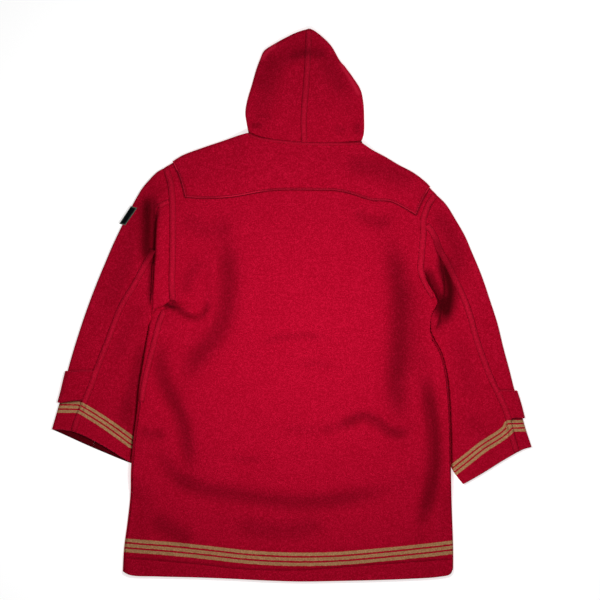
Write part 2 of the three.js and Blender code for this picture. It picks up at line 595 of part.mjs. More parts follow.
for (const [side, cut] of Object.entries(SLEEVES)) {
  const sleeve = new Weave();
  const shift = new THREE.Vector3(cut.outward * ARMHOLE_SHIFT, 0, 0);
  const shifted = (along) => (share) => along(share).add(shift);
  const armhole = shifted(armholes[side]);
  const armholeSeam = shareNear(armhole, cut.armholeSeam);
  const marks = (points) => points.map((point, i) => ({ point, share: STRAP_SHARES[i] }));
  const badgeMarks = cut.badge ? cut.badge.map((point, i) => ({ point, share: BADGE_SHARES[i] })) : [];
  const ended = (points, along, to) => [xy(along(to)), ...points.slice(1)];
  const outer = timed(line(ended(cut.outer, armhole, 0)), [...badgeMarks, ...marks(cut.strap.outer)]);
  const seam = timed(line(ended(cut.seam, armhole, armholeSeam)), marks(cut.strap.seam));
  const inner = line(ended(cut.inner, armhole, 1));
  const plans = {
    outerTop: patch(stretch(armhole, 0, armholeSeam), line(cut.cuffOuter), outer, seam),
    innerTop: patch(stretch(armhole, armholeSeam, 1), line(cut.cuffInner), seam, inner),
    whole: patch(armhole, line(cut.cuffUnder), outer, inner),
  };
  const thickAt = (v) => mix(FOLD_HEIGHT, CUFF_HEIGHT, v);
  const upper = (point, v) => {
    const lips = lipsAt(sleeveLips, point.x, point.y);
    const folds = (foldsAt(sleeveFolds, point.x, point.y) + lips) * (1 - v ** FOLDS_FADE);
    const height = Math.max(mix(CROWN, CUFF_HEIGHT, smooth(v / CUFF_LEVEL)) + folds, LOWEST_TOP);
    const nearOuter = upperNear(height, point.distanceTo(outer(v)), 0, thickAt(v));
    return upperNear(nearOuter, point.distanceTo(inner(v)), 0, thickAt(v) + lips);
  };
  const lower = (point, v) => {
    const lips = lipsAt(sleeveLips, point.x, point.y);
    const nearOuter = lowerNear(point.distanceTo(outer(v)), 0, thickAt(v));
    return Math.max(nearOuter, lowerNear(point.distanceTo(inner(v)), 0, thickAt(v) + lips));
  };
  const above = (plan) => (u, v) => {
    const point = plan(u, v);
    return lift(point, upper(point, v));
  };
  const below = (from, to) => (u, v) => {
    const point = plans.whole(mix(from, to, u), v);
    return lift(point, lower(point, v));
  };
  const names = ["sleeve_" + side + "_top", "sleeve_" + side + "_under"];
  const topGrid = sleeve.add(names[0], gridOf(SLEEVE_DOWN, OUTER_ACROSS, above(plans.outerTop)), true);
  sleeve.add(names[0], gridOf(SLEEVE_DOWN, OUTER_UNDER, below(0, 0.5)), false);
  sleeve.add(names[1], gridOf(SLEEVE_DOWN, INNER_ACROSS, above(plans.innerTop)), true);
  sleeve.add(names[1], gridOf(SLEEVE_DOWN, INNER_UNDER, below(0.5, 1)), false);
  for (const name of names) addPiece(name, sleeve.solid(sleeve.piece(name), 0, -CLOTH));

  const strapRow = SLEEVE_DOWN.indexOf(STRAP_SHARES[0]);
  addPiece("cuff_strap_" + side, sleeve.solid(topGrid[strapRow], LAID_GAP + OVERLAY, LAID_GAP));
  if (cut.badge) {
    const badgeRow = SLEEVE_DOWN.indexOf(BADGE_SHARES[0]);
    const inside = OUTER_ACROSS.findIndex((u) => u * OUTER_WIDTH > BADGE_WIDTH);
    const badge = sleeve.solid(topGrid[badgeRow].slice(0, inside), LAID_GAP + BADGE, LAID_GAP);
    addPiece("sleeve_badge", badge, plainBlack());
  }
}

// Hood

const hoodFolds = withSteps(HOOD_FOLDS);
const HOOD_UP = [0, 0.06, 0.14, 0.24, 0.36, 0.48, 0.6, 0.72, 0.83, 0.91, 0.96, 0.985, 0.995, 1];
const HOOD_ACROSS = [0, 0.01, 0.03, 0.07, 0.18, 0.36, 0.57, 0.78, 1];
const NECK_SHIFT = 0.7; // keeps the hood clear of the body along the neck seam
const TIP_ROWS = 5; // in which the underside's faces beside the opening are left out at the tip
const EDGE_STEPS = 60;

const hood = new Weave();
const stepsAlong = (along) => Array.from({ length: EDGE_STEPS }, (_, i) => along(i / (EDGE_STEPS - 1)));
const hoodLines = Object.values(HOOD_SIDES).flatMap(({ fold, top }) => [line(fold), line(top)]);
const hoodEdge = hoodLines.flatMap(stepsAlong);
function fromHoodEdge(point) {
  return Math.min(...hoodEdge.map((step) => Math.hypot(step.x - point.x, step.y - point.y)));
}

for (const [side, cut] of Object.entries(HOOD_SIDES)) {
  const up = new THREE.Vector3(0, NECK_SHIFT, 0);
  const fold = line(cut.fold.map(([x, y], i) => (i === 0 ? [x, y + NECK_SHIFT] : [x, y])));
  const top = line(cut.top);
  const neck = stretch((share) => neckLine(share).add(up), ...cut.neck);
  const frontNeck = stretch((share) => frontNeckLine(share).add(up), ...cut.frontNeck);
  const seam = line([xy(neck(1)), ...HOOD_SEAM.slice(1)]);
  const face = line([xy(frontNeck(1)), ...cut.face.slice(1)]);
  const plan = patch(neck, top, fold, seam);
  const planUnder = patch(frontNeck, top, fold, face);
  const fromTop = (point, u, v) => (v >= 1 || u <= 0 ? 0 : fromHoodEdge(point));
  const over = (u, v) => {
    const point = plan(u, v);
    const crown = mix(HOOD_NECK, HOOD_CROWN, smooth(v / NECK_RISE)) + foldsAt(hoodFolds, point.x, point.y);
    const apart = fromTop(point, u, v);
    const middle = HOOD_FOLD / 2;
    const inside = mix(HOOD_FOLD, crown, smooth((apart - HOOD_REACH) / HOOD_RISE));
    return lift(point, middle + (inside - middle) * bow(apart, HOOD_REACH));
  };
  const under = (u, v) => {
    const point = planUnder(u, v);
    return lift(point, lowerNear(fromTop(point, u, v), 0, HOOD_FOLD, HOOD_REACH));
  };
  const name = "hood_" + side;
  hood.add(name, gridOf(HOOD_UP, HOOD_ACROSS, over), true);
  const atTip = (r, c) => r >= HOOD_UP.length - TIP_ROWS && c === HOOD_ACROSS.length - 2;
  hood.add(name, gridOf(HOOD_UP, HOOD_ACROSS, under), false, atTip);
}
for (const name of ["hood_left", "hood_right"]) addPiece(name, hood.solid(hood.piece(name), 0, -CLOTH));

export default coat;
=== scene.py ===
# %% [markdown]
# # A duffle coat laid flat, its back up
# The coat is sewn from thick brushed wool. It lies face down on a table, and the camera looks straight down.
# Each piece of cloth is built as a fine closed wall, in the place of the plain solid of the same piece.
# %% Load the frame
import math

import bmesh
import bpy
import numpy as np
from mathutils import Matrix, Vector
from mathutils.bvhtree import BVHTree


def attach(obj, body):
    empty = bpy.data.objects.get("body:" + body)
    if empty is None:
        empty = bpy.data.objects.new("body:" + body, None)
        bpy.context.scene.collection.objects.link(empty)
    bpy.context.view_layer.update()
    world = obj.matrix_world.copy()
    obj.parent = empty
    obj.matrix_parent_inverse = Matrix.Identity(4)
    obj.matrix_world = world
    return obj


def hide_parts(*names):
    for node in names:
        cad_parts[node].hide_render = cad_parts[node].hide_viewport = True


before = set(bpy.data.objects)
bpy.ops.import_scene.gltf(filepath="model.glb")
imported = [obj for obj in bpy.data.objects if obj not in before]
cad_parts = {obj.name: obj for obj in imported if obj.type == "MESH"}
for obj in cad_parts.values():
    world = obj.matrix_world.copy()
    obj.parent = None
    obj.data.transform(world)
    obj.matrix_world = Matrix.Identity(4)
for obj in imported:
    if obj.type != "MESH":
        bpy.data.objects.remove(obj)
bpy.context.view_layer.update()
print("nodes:", sorted(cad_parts))

# %% [markdown]
# ## Camera
# The picture was taken from straight above, from far enough away that the coat looks flat.
# A long lens high over the table gives that view, with a little perspective left.
# %% Camera
MM = 0.001
CAMERA_HEIGHT = 6.0
VIEW_CENTRE = (0.0176, 0.0099)
VIEW_WIDTH = 1.32
CLOTH_LEVEL = 0.012
SENSOR = 36.0
FARTHEST = 50.0


def placed(name, data):
    """A new object of the scene for a mesh, a light or a camera."""
    made = bpy.data.objects.new(name, data)
    bpy.context.collection.objects.link(made)
    return made


camera_data = bpy.data.cameras.new("camera")
camera_data.sensor_width = SENSOR
camera_data.lens = SENSOR * (CAMERA_HEIGHT - CLOTH_LEVEL) / VIEW_WIDTH
camera_data.clip_end = FARTHEST
camera = placed("camera", camera_data)
camera.location = (*VIEW_CENTRE, CAMERA_HEIGHT)
bpy.context.scene.camera = camera

# %% [markdown]
# ## Smooth lines
# Each piece is bounded by a few smooth lines: folds, seams and cut edges.
# A line goes through a short list of points. A centripetal spline keeps it free of loops.
# It is read by the share of its length.
# %% Lines
LINE_STEPS = 40
SEARCH_STEPS = 401
TINY = 1e-9


def line(points):
    """A smooth line through points, as a function of the share of its length."""
    through = np.array(points, float)
    padded = np.vstack([2 * through[0] - through[1], through, 2 * through[-1] - through[-2]])
    t = np.linspace(0, 1, LINE_STEPS, endpoint=False)[:, None]
    dense = []
    for i in range(len(through) - 1):
        p0, p1, p2, p3 = padded[i:i + 4]
        d0, d1, d2 = (math.sqrt(np.linalg.norm(b - a)) for a, b in ((p0, p1), (p1, p2), (p2, p3)))
        start = ((p1 - p0) / d0 - (p2 - p0) / (d0 + d1) + (p2 - p1) / d1) * d1
        end = ((p2 - p1) / d1 - (p3 - p1) / (d1 + d2) + (p3 - p2) / d2) * d1
        squared = 3 * (p2 - p1) - 2 * start - end
        cubed = 2 * (p1 - p2) + start + end
        dense.append(p1 + start * t + squared * t**2 + cubed * t**3)
    dense = np.vstack([*dense, through[-1:]])
    length = np.concatenate([[0], np.cumsum(np.linalg.norm(np.diff(dense, axis=0), axis=1))])
    length /= length[-1]

    def along(share):
        share = np.clip(share, 0, 1)
        return np.stack([np.interp(share, length, dense[:, 0]), np.interp(share, length, dense[:, 1])], -1)

    return along


def stretch(along, start, end):
    """The same line from one share of its length to another."""
    return lambda share: along(start + (end - start) * np.asarray(share, float))


def moved(along, by):
    """The same line, moved aside."""
    return lambda share: along(share) + by


def chain(*links):
    """Lines joined end to end, each with the share of the whole at which it ends."""
    ends = np.array([to for to, _ in links])

    def along(share):
        share = np.asarray(share, float)
        which = np.minimum(np.searchsorted(ends, share - TINY), len(links) - 1)
        out = np.zeros(share.shape + (2,))
        for i, (to, part) in enumerate(links):
            start = ends[i - 1] if i else 0.0
            here = (which == i)[..., None]
            out = np.where(here, part((share - start) / (to - start)), out)
        return out

    return along


def share_near(along, point):
    """The share of a line's length that lies nearest a point."""
    at = np.linspace(0, 1, SEARCH_STEPS)
    return at[np.argmin(np.linalg.norm(along(at) - np.array(point), axis=1))]


def timed(along, marks):
    """A line timed so that it reaches the given points at the given shares."""
    stops = [(share, share_near(along, point)) for share, point in marks] + [(1.0, 1.0)]
    starts = [0.0] + [at for _, at in stops[:-1]]
    return chain(*[(share, stretch(along, start, at)) for (share, at), start in zip(stops, starts)])


def patch(top, bottom, left, right):
    """A surface between four lines: u runs along top and bottom, v along the two sides."""
    def at(u, v):
        u, v = np.broadcast_arrays(np.asarray(u, float), np.asarray(v, float))
        a, b = u[..., None], v[..., None]
        point = (1 - b) * top(u) + b * bottom(u) + (1 - a) * left(v) + a * right(v)
        point = point - (1 - a) * (1 - b) * top(0.0) - a * (1 - b) * top(1.0)
        return point - (1 - a) * b * bottom(0.0) - a * b * bottom(1.0)

    return at


# %% [markdown]
# ## Folds
# Thick wool lies in broad soft folds. A trough or a ridge is a path with a width and a depth.
# A lip is a fold with one steep side, as where the cloth rolls over the seam beside the body.
# Placing them one by one gives the few large folds of a coat that somebody has just laid out.
# %% Fold helpers
PATH_STEPS = 24
FADE_ENDS, LEAST_FADE = 0.25, 0.2
# The fold depth and lip rise that give the fullest painted shade, and how wide it spreads below a lip.
DEEPEST = 20.0
DEEPEST_LIP = 16.0
LIP_SHADE = 9.0


def smooth(x):
    x = np.clip(x, 0, 1)
    return x * x * (3 - 2 * x)


def mix(a, b, share):
    return a + (b - a) * share


def bell(gap, width):
    """A soft bump across a gap: 1 in its middle, 0 well away."""
    return np.exp(-((gap / width) ** 2))


def unit(vectors):
    return vectors / np.maximum(np.linalg.norm(vectors, axis=1, keepdims=True), TINY)


def nearest_on(path, xy):
    """Distance from points to a path, the side (1 is left of its way) and the share along it."""
    flat = xy.reshape(-1, 2)
    gap = np.full(len(flat), np.inf)
    side = np.ones(len(flat))
    share = np.zeros(len(flat))
    for i, (a, b) in enumerate(zip(path, path[1:])):
        way = b - a
        off = flat - a
        t = np.clip(off @ way / (way @ way), 0, 1)
        away = np.linalg.norm(off - t[:, None] * way, axis=1)
        closer = away < gap
        gap = np.where(closer, away, gap)
        side = np.where(closer, np.where(way[0] * off[:, 1] - way[1] * off[:, 0] < 0, -1.0, 1.0), side)
        share = np.where(closer, (i + t) / (len(path) - 1), share)
    shape = xy.shape[:-1]
    return gap.reshape(shape), side.reshape(shape), share.reshape(shape)


def steps_of(points, count=PATH_STEPS):
    return line(points)(np.linspace(0, 1, count + 1))


def fade_ends(share):
    return smooth(np.minimum(share, 1 - share) / FADE_ENDS)


def folds_at(rows, xy):
    height = np.zeros(xy.shape[:-1])
    for _, width, depth, path in rows:
        gap, _, share = nearest_on(steps_of(path), xy)
        height += depth * bell(gap, width) * np.maximum(LEAST_FADE, fade_ends(share))
    return height


def lips_at(rows, xy):
    height = np.zeros(xy.shape[:-1])
    for _, rise, steep, fade, path in rows:
        gap, side, share = nearest_on(steps_of(path), xy)
        height += (side > 0) * rise * smooth(gap / steep) * (1 - smooth(gap / fade)) * fade_ends(share)
    return height


def hollows_at(folds, lips, xy):
    """How deep the cloth lies in its folds, from 0 to 1. It darkens the cloth's colour as painted shade."""
    deep = np.zeros(xy.shape[:-1])
    for _, width, depth, path in folds:
        if depth < 0:
            gap, _, share = nearest_on(steps_of(path), xy)
            deep += -depth / DEEPEST * bell(gap, width) * np.maximum(LEAST_FADE, fade_ends(share))
    for _, rise, steep, _, path in lips:
        gap, side, share = nearest_on(steps_of(path), xy)
        foot = np.where(side > 0, 1 - smooth(gap / steep), bell(gap, LIP_SHADE))
        deep = np.maximum(deep, rise / DEEPEST_LIP * foot * np.minimum(1, 2 * fade_ends(share)))
    return np.clip(deep, 0, 1)


# %% [markdown]
# ## Flattened tubes
# The body, each sleeve and the hood are tubes of cloth that lie flat, so each has an upper and a lower layer.
# The two layers meet in rounded folds. A layer's height follows from its distance to the folded edge.
# %% Heights near a folded edge
CLOTH = 3.0
SEAM_GAP = 0.02
LAID_GAP = 0.3
FOLD_HEIGHT = 10.0
FOLD_REACH = 6.0
RISE = 55.0
CROWN = 19.0
LIFT_REACH = 40.0


def bow(distance, reach):
    return np.sqrt(np.maximum(0, 1 - np.maximum(0, 1 - distance / reach) ** 2))


def upper_near(height, distance, under, thick, reach=FOLD_REACH):
    middle = under + thick / 2
    inside = mix(under + thick, height, smooth((distance - reach) / RISE))
    return middle + (inside - middle) * bow(distance, reach)


def lower_near(distance, under, thick, reach=FOLD_REACH):
    middle = under + thick / 2
    return middle - (middle - under * (1 - smooth(distance / LIFT_REACH))) * bow(distance, reach)


# %% [markdown]
# ## Weaving a wall of cloth
# Grids of points become one surface for each tube. Points in the same place are shared, so it is smooth.
# A piece is then a closed wall 3 mm thick over its own faces.
# Its rim is rounded, as the turned edge of thick wool is.
# %% The weave
SAME_PLACE = 0.00217
RIM_TURNS = (0.25, 0.5, 0.75)
FAR = 1.0


class Weave:
    def __init__(self):
        self.grids, self.faces, self.count = [], {}, 0

    def add(self, piece, rows, looks_up, keep=None):
        height, width = rows.shape[:2]
        ids = self.count + np.arange(height * width).reshape(height, width)
        self.count += height * width
        quads = np.stack([ids[:-1, :-1], ids[1:, :-1], ids[1:, 1:], ids[:-1, 1:]], -1)
        across = rows[height // 2, -1] - rows[height // 2, 0]
        down = rows[-1, 0] - rows[0, 0]
        if (np.cross(down, across)[2] > 0) != looks_up:
            quads = quads[..., ::-1]
        self.grids.append(rows.reshape(-1, 3))
        self.faces.setdefault(piece, []).append((quads if keep is None else quads[keep]).reshape(-1, 4))
        return quads

    def finish(self):
        """Share the points that lie in the same place, and find the direction out of the cloth at each."""
        points = np.vstack(self.grids)
        keys = np.round(points / SAME_PLACE).astype(np.int64)
        _, first, self.place = np.unique(keys, axis=0, return_index=True, return_inverse=True)
        self.place = self.place.reshape(-1)
        self.points = points[first]
        self.out = np.zeros_like(self.points)
        for faces in self.faces.values():
            for quads in faces:
                corners = self.place[quads]
                a, b, c, d = (self.points[corners[:, k]] for k in range(4))
                normal = np.cross(c - a, d - b)
                for k in range(4):
                    np.add.at(self.out, corners[:, k], normal)
        self.out = unit(self.out)

    def wall(self, quads, outer, inner, drawn_in=SEAM_GAP, relief=None):
        """Points and faces of a closed wall, and the point of the surface that each point came from."""
        corners = self.place[quads]
        faces = [list(dict.fromkeys(face)) for face in corners.tolist()]
        faces = [face for face in faces if len(face) > 2]
        used = np.unique(np.concatenate([np.array(face) for face in faces]))
        at = {int(v): i for i, v in enumerate(used)}
        directed = {}
        inward = np.zeros((len(used), 3))
        for face in faces:
            middle = self.points[face].mean(axis=0)
            for a, b in zip(face, face[1:] + face[:1]):
                directed[(a, b)] = True
                to = middle - self.points[a]
                inward[at[a]] += to / max(np.linalg.norm(to), TINY)
        rim = [(a, b) for a, b in directed if (b, a) not in directed]
        rim_ids = sorted({at[a] for edge in rim for a in edge})
        on_rim = np.zeros(len(used), bool)
        on_rim[rim_ids] = True
        inward = unit(inward)
        out = self.out[used]
        inward = unit(inward - out * (inward * out).sum(axis=1, keepdims=True))
        radius = (outer - inner) / 2
        base = self.points[used] + np.where(on_rim[:, None], inward * (drawn_in + radius), 0)
        sunk = relief(self.points[used])[:, None] if relief else 0.0
        layers = [base + out * (outer - sunk), base + out * inner]
        n = len(used)
        result = []
        for face in faces:
            ids = [at[v] for v in face]
            result += [ids, [i + n for i in reversed(ids)]]
        ring_at = {v: k for k, v in enumerate(rim_ids)}
        rim_in, rim_out = inward[rim_ids], out[rim_ids]
        mid = self.points[used[rim_ids]] + rim_in * (drawn_in + radius) + rim_out * (outer + inner) / 2
        rings = []
        for k, turn in enumerate(RIM_TURNS):
            angle = math.pi * turn
            layers.append(mid - rim_in * radius * math.sin(angle) + rim_out * radius * math.cos(angle))
            rings.append(2 * n + k * len(rim_ids))
        for a, b in rim:
            i, j = at[a], at[b]
            chain_i = [i, *[start + ring_at[i] for start in rings], i + n]
            chain_j = [j, *[start + ring_at[j] for start in rings], j + n]
            for k in range(len(chain_i) - 1):
                result.append([chain_j[k], chain_i[k], chain_i[k + 1], chain_j[k + 1]])
        source = np.concatenate([used, used, *[used[rim_ids]] * len(RIM_TURNS)])
        return np.vstack(layers), result, self.points[source]

    def panel(self, piece):
        """The wall of one whole piece of cloth."""
        return self.wall(np.vstack(self.faces[piece]), 0, -CLOTH)


def to_object(name, points, faces, material, bars=None, hollow=0.0, painted_highlight=0.0):
    """A finished mesh at the origin, from points in millimetres.

    bars is the signed distance to the woven stripes. The last two give the share of painted shade and of
    painted highlight, from 0 to 1.
    """
    mesh = bpy.data.meshes.new(name)
    mesh.from_pydata((np.asarray(points) * MM).tolist(), [], [list(face) for face in faces])
    mesh.validate()
    mesh.polygons.foreach_set("use_smooth", [True] * len(mesh.polygons))
    to_bars = FAR if bars is None else np.asarray(bars) * MM
    for label, given in (("bars", to_bars), ("hollow", hollow), ("painted_highlight", painted_highlight)):
        values = np.ascontiguousarray(np.broadcast_to(given, len(mesh.vertices)), float)
        mesh.attributes.new(label, "FLOAT", "POINT").data.foreach_set("value", values)
    mesh.materials.append(material)
    return placed(name, mesh)


# %% [markdown]
# ## Steps across a piece
# The cloth bends tightly only in its folded edges, so points are close together there.
# Elsewhere they are about 5 mm apart.
# %% Steps
SPACING = 5.2
NEAR_EDGE = (0, 0.4, 1.1, 2.1, 3.4, 5, 7, 10, 14)
ROUNDING = 1e-6


def shares(length, fine_start=False, fine_end=False, marks=(), spacing=SPACING):
    fixed = {0.0, 1.0, *marks}
    if fine_start:
        fixed |= {step / length for step in NEAR_EDGE}
    if fine_end:
        fixed |= {1 - step / length for step in NEAR_EDGE}
    fixed = sorted(fixed)
    out = []
    for a, b in zip(fixed, fixed[1:]):
        count = max(1, math.ceil((b - a) * length / spacing - ROUNDING))
        out += list(a + (b - a) * np.arange(count) / count)
    return np.array(out + [1.0])


def step_at(steps, share):
    """The number of the step nearest a share."""
    return int(np.argmin(np.abs(steps - share)))


def lifted(xy, height):
    return np.concatenate([xy, np.broadcast_to(height, xy.shape[:-1])[..., None]], -1)


# %% [markdown]
# ## Wool
# The cloth is heavy brushed wool: matt, deep red, with a short nap that hides the weave.
# One noise of about 1.5 mm gives the nap, a broader one the clumps, and both also lift the surface a little.
# Three tan bars are woven into the same cloth near hem and cuffs. Each point knows its distance to them.
# Painted shade darkens the colour in folds, grooves and beside raised edges, and a painted highlight lightens
# raised edges and ridges.
# %% Wool material
RED_LIT = (0.63, 0.005, 0.038, 1)
RED_DEEP = (0.365, 0.0005, 0.014, 1)
TAN_LIT = (0.64, 0.36, 0.17, 1)
TAN_DEEP = (0.40, 0.20, 0.085, 1)
# Painted shade: the colour is multiplied towards this where the cloth lies deep in a fold or beside a raised
# edge.
PAINTED_SHADE_TINT = (0.15, 0.1, 0.12, 1)
# Painted highlight: the lighter red along raised edges, welts and ridges.
HIGHLIGHT_RED = (0.70, 0.014, 0.052, 1)
NAP = (430, 3, 0.65)  # scale, detail and roughness of each noise
CLUMPS = (170, 3, 0.55)
CLOUDS = (22, 2, 0.55)
FINE_WEAVE = (900, 2, 0.55)
NAP_SHARE, CLUMP_SHARE, CLOUD_SHARE = 0.72, 0.23, 0.05
DARKEST, LIGHTEST = 0.42, 0.66
BAR_PITCH = 0.0112
BAR_HALF = 0.0036
BAR_BLUR = 0.0007
BAR_SHAKE = 0.0022
BARS_HALF = 1.5 * BAR_PITCH
BARS_EDGE = 1e-5
WOOL_SURFACE = {
    "Roughness": 0.95,
    "Specular IOR Level": 0.04,
    "Sheen Weight": 0.05,
    "Sheen Roughness": 0.6,
    "Sheen Tint": (1.0, 0.05, 0.12, 1),
}


def fill(tree, node, values):
    """Give a node's sockets their values: numbers, colours or the outputs of other nodes."""
    for name, value in values.items():
        if isinstance(value, bpy.types.NodeSocket):
            tree.links.new(value, node.inputs[name])
        else:
            node.inputs[name].default_value = value


def add_node(tree, kind, values, output=0, **settings):
    """A new node with its settings and values. What comes back is one of its outputs."""
    node = tree.nodes.new(kind)
    for name, value in settings.items():
        setattr(node, name, value)
    fill(tree, node, values)
    return node.outputs[output]


class Paint:
    """A new material, with short ways to add the nodes that it needs."""

    def __init__(self, name):
        self.material = bpy.data.materials.new(name)
        self.material.use_nodes = True
        self.tree = self.material.node_tree

    def math(self, operation, *values):
        return add_node(self.tree, "ShaderNodeMath", dict(enumerate(values)), operation=operation)

    def noise(self, scale, detail, roughness):
        values = {"Scale": scale, "Detail": detail, "Roughness": roughness}
        values["Vector"] = add_node(self.tree, "ShaderNodeTexCoord", {}, "Object")
        return add_node(self.tree, "ShaderNodeTexNoise", values, "Fac")

    def ramp(self, value, low, high):
        values = {"Value": value, "From Min": low, "From Max": high}
        return add_node(self.tree, "ShaderNodeMapRange", values, "Result", interpolation_type="SMOOTHSTEP")

    def blend(self, share, first, second, how="MIX"):
        values = {"Factor": share, 6: first, 7: second}
        return add_node(self.tree, "ShaderNodeMix", values, 2, data_type="RGBA", blend_type=how)

    def attribute(self, name):
        return add_node(self.tree, "ShaderNodeAttribute", {}, "Fac", attribute_name=name)

    def surface(self, values):
        fill(self.tree, self.tree.nodes["Principled BSDF"], values)

    def bump(self, height, strength, distance):
        values = {"Height": height, "Strength": strength, "Distance": distance}
        self.surface({"Normal": add_node(self.tree, "ShaderNodeBump", values, "Normal")})


def make_wool():
    paint = Paint("wool")
    nap, clumps, clouds = (paint.noise(*noise) for noise in (NAP, CLUMPS, CLOUDS))
    mottle = paint.math("MULTIPLY", nap, NAP_SHARE)
    for noise, share in ((clumps, CLUMP_SHARE), (clouds, CLOUD_SHARE)):
        mottle = paint.math("ADD", mottle, paint.math("MULTIPLY", noise, share))
    lit = paint.ramp(mottle, DARKEST, LIGHTEST)
    tan = paint.blend(lit, TAN_DEEP, TAN_LIT)
    # The red is lightened towards a painted highlight along raised edges.
    red = paint.blend(paint.attribute("painted_highlight"), paint.blend(lit, RED_DEEP, RED_LIT), HIGHLIGHT_RED)
    shaken = paint.math("MULTIPLY", paint.math("SUBTRACT", clumps, 0.5), BAR_SHAKE)
    at = paint.math("ADD", paint.attribute("bars"), shaken)
    in_bar = paint.math("ABSOLUTE", paint.math("WRAP", at, BAR_PITCH / 2, -BAR_PITCH / 2))
    bar = paint.ramp(in_bar, BAR_HALF + BAR_BLUR / 2, BAR_HALF - BAR_BLUR / 2)
    near_bars = paint.ramp(paint.math("ABSOLUTE", at), BARS_HALF + BARS_EDGE, BARS_HALF - BARS_EDGE)
    dyed = paint.blend(paint.math("MULTIPLY", bar, near_bars), red, tan)
    # Painted shade, from the hollow attribute, darkens the colour in folds and grooves.
    shaded = paint.blend(paint.attribute("hollow"), dyed, PAINTED_SHADE_TINT, "MULTIPLY")
    paint.surface({"Base Color": shaded, **WOOL_SURFACE})
    paint.bump(mottle, 0.9, 0.0011)
    return paint.material


def finely_woven(name, dark, light, roughness, specular):
    """A plain dull material with a fine weave, for thread and tape."""
    paint = Paint(name)
    weave = paint.noise(*FINE_WEAVE)
    colour = paint.blend(paint.ramp(weave, 0.3, 0.7), dark, light)
    paint.surface({"Base Color": colour, "Roughness": roughness, "Specular IOR Level": specular})
    return paint, weave, colour


wool = make_wool()

# %% [markdown]
# ## The body: edge lines
# Shoulders, neck seam, armholes, sides and hem, measured in millimetres from the middle of the coat.
# The right armhole ends lower, because the coat lies a little twisted.
# %% Body lines
SIDE_NAMES = ("left", "right")
YOKE_SHARE, PIT_SHARE = 0.08, 0.34
YOKE_EDGE, NECK_LEFT, NECK_RIGHT = 0.05, 0.3, 0.7
SHOULDER_LEFT = [(-262, 313), (-241, 326), (-199, 342), (-149, 359), (-113, 372), (-96, 378)]
NECK = [(-96, 378), (-81, 370), (-57, 364), (-13, 358), (29, 355), (77, 354), (121, 355), (152, 357)]
SHOULDER_RIGHT = [(152, 357), (172, 341), (203, 324), (233, 306), (265, 289), (288, 272), (303, 258)]
FRONT_NECK = [
    (-96, 378), (-81, 340), (-44, 300), (-4, 282), (28, 278), (62, 282), (104, 298), (138, 325),
    (152, 357),
]
ARMHOLES = {
    "left": line([(-283, 300), (-272, 265), (-268, 226), (-267, 160), (-268, 94), (-269, 43), (-267, 8)]),
    "right": line([
        (320, 240), (305, 217), (296, 190), (291, 155), (289, 116), (290, 72), (294, 20), (304, -60),
    ]),
}
BACK_ARMHOLES = {  # the back bulges out over the right sleeve at the armpit
    "left": ARMHOLES["left"],
    "right": line([
        (320, 240), (305, 217), (297, 197), (293.5, 183.5), (294, 160), (291, 120), (289, 98), (288, 76),
        (299, 48), (315, 20), (320, 5), (312, -9), (306, -30), (304, -60),
    ]),
}
YOKE_LINE = [
    (-235, 236), (-198, 234), (-150, 235), (-117, 239), (-68, 248), (-28, 252), (54, 252), (95, 251),
    (127, 245), (176, 230), (216, 227), (237, 218), (273, 197),
]
SIDES = {
    "left": [
        (-267, 8), (-283, -1), (-300, -9), (-308, -20), (-312, -34), (-317, -63), (-326, -116),
        (-336, -179), (-341, -234), (-349, -298), (-354, -360), (-356, -419), (-363, -483), (-370, -536),
        (-373, -588),
    ],
    "right": [
        (304, -60), (312, -76), (328, -105), (340, -151), (346, -210), (349, -298), (350, -386),
        (353, -474), (355, -536), (355, -582),
    ],
}
HEM = [
    (-373, -588), (-356, -596), (-295, -599), (-213, -601), (-134, -604), (-53, -608), (18, -610),
    (95, -609), (183, -607), (262, -604), (321, -600), (348, -594), (355, -582),
]
SIDE_SEAMS = {  # heights from low to high, and how far in from the folded edge the side seam lies there
    "at": (-600, -240, -150, -70, 10),
    "left": (4, 5, 9, 15, 21),
    "right": (4, 5, 5, 5, 5),
}
OVERLAPS = {"left": (-16, -52, -362, -436), "right": (-30, -75, -376, -456)}
OVER_SLEEVE = 14.0
HEM_HEIGHT, HEM_REACH = 9.9, 90.0
BODY_LENGTH = 960.0
ON_ARMHOLE = {"left": 0.24, "right": 0.15}


def side_line(armholes, side):
    return chain(
        (YOKE_SHARE, stretch(armholes[side], 0, ON_ARMHOLE[side])),
        (PIT_SHARE, stretch(armholes[side], ON_ARMHOLE[side], 1)),
        (1.0, line(SIDES[side])),
    )


def shoulders(neck):
    return chain(
        (YOKE_EDGE, line([ARMHOLES["left"](0), SHOULDER_LEFT[0]])),
        (NECK_LEFT, line(SHOULDER_LEFT)),
        (NECK_RIGHT, neck),
        (1 - YOKE_EDGE, line(SHOULDER_RIGHT)),
        (1.0, line([SHOULDER_RIGHT[-1], ARMHOLES["right"](0)])),
    )


body_edge = {side: side_line(BACK_ARMHOLES, side) for side in SIDE_NAMES}
front_edge = {side: side_line(ARMHOLES, side) for side in SIDE_NAMES}
neck_line = line(NECK)
front_neck_line = line(FRONT_NECK)
hem_line = line(HEM)
yoke_row = chain(
    (YOKE_EDGE, line([body_edge["left"](YOKE_SHARE), YOKE_LINE[0]])),
    (1 - YOKE_EDGE, line(YOKE_LINE)),
    (1.0, line([YOKE_LINE[-1], body_edge["right"](YOKE_SHARE)])),
)


def body_sides(start, end):
    return [stretch(body_edge[side], start, end) for side in SIDE_NAMES]


over_yoke = patch(shoulders(neck_line), yoke_row, *body_sides(0, YOKE_SHARE))
under_yoke = patch(yoke_row, hem_line, *body_sides(YOKE_SHARE, 1))
front_plan = patch(shoulders(front_neck_line), hem_line, front_edge["left"], front_edge["right"])


def back_plan(u, v):
    above = over_yoke(u, v / YOKE_SHARE)
    below = under_yoke(u, (v - YOKE_SHARE) / (1 - YOKE_SHARE))
    return np.where((v <= YOKE_SHARE)[..., None], above, below)


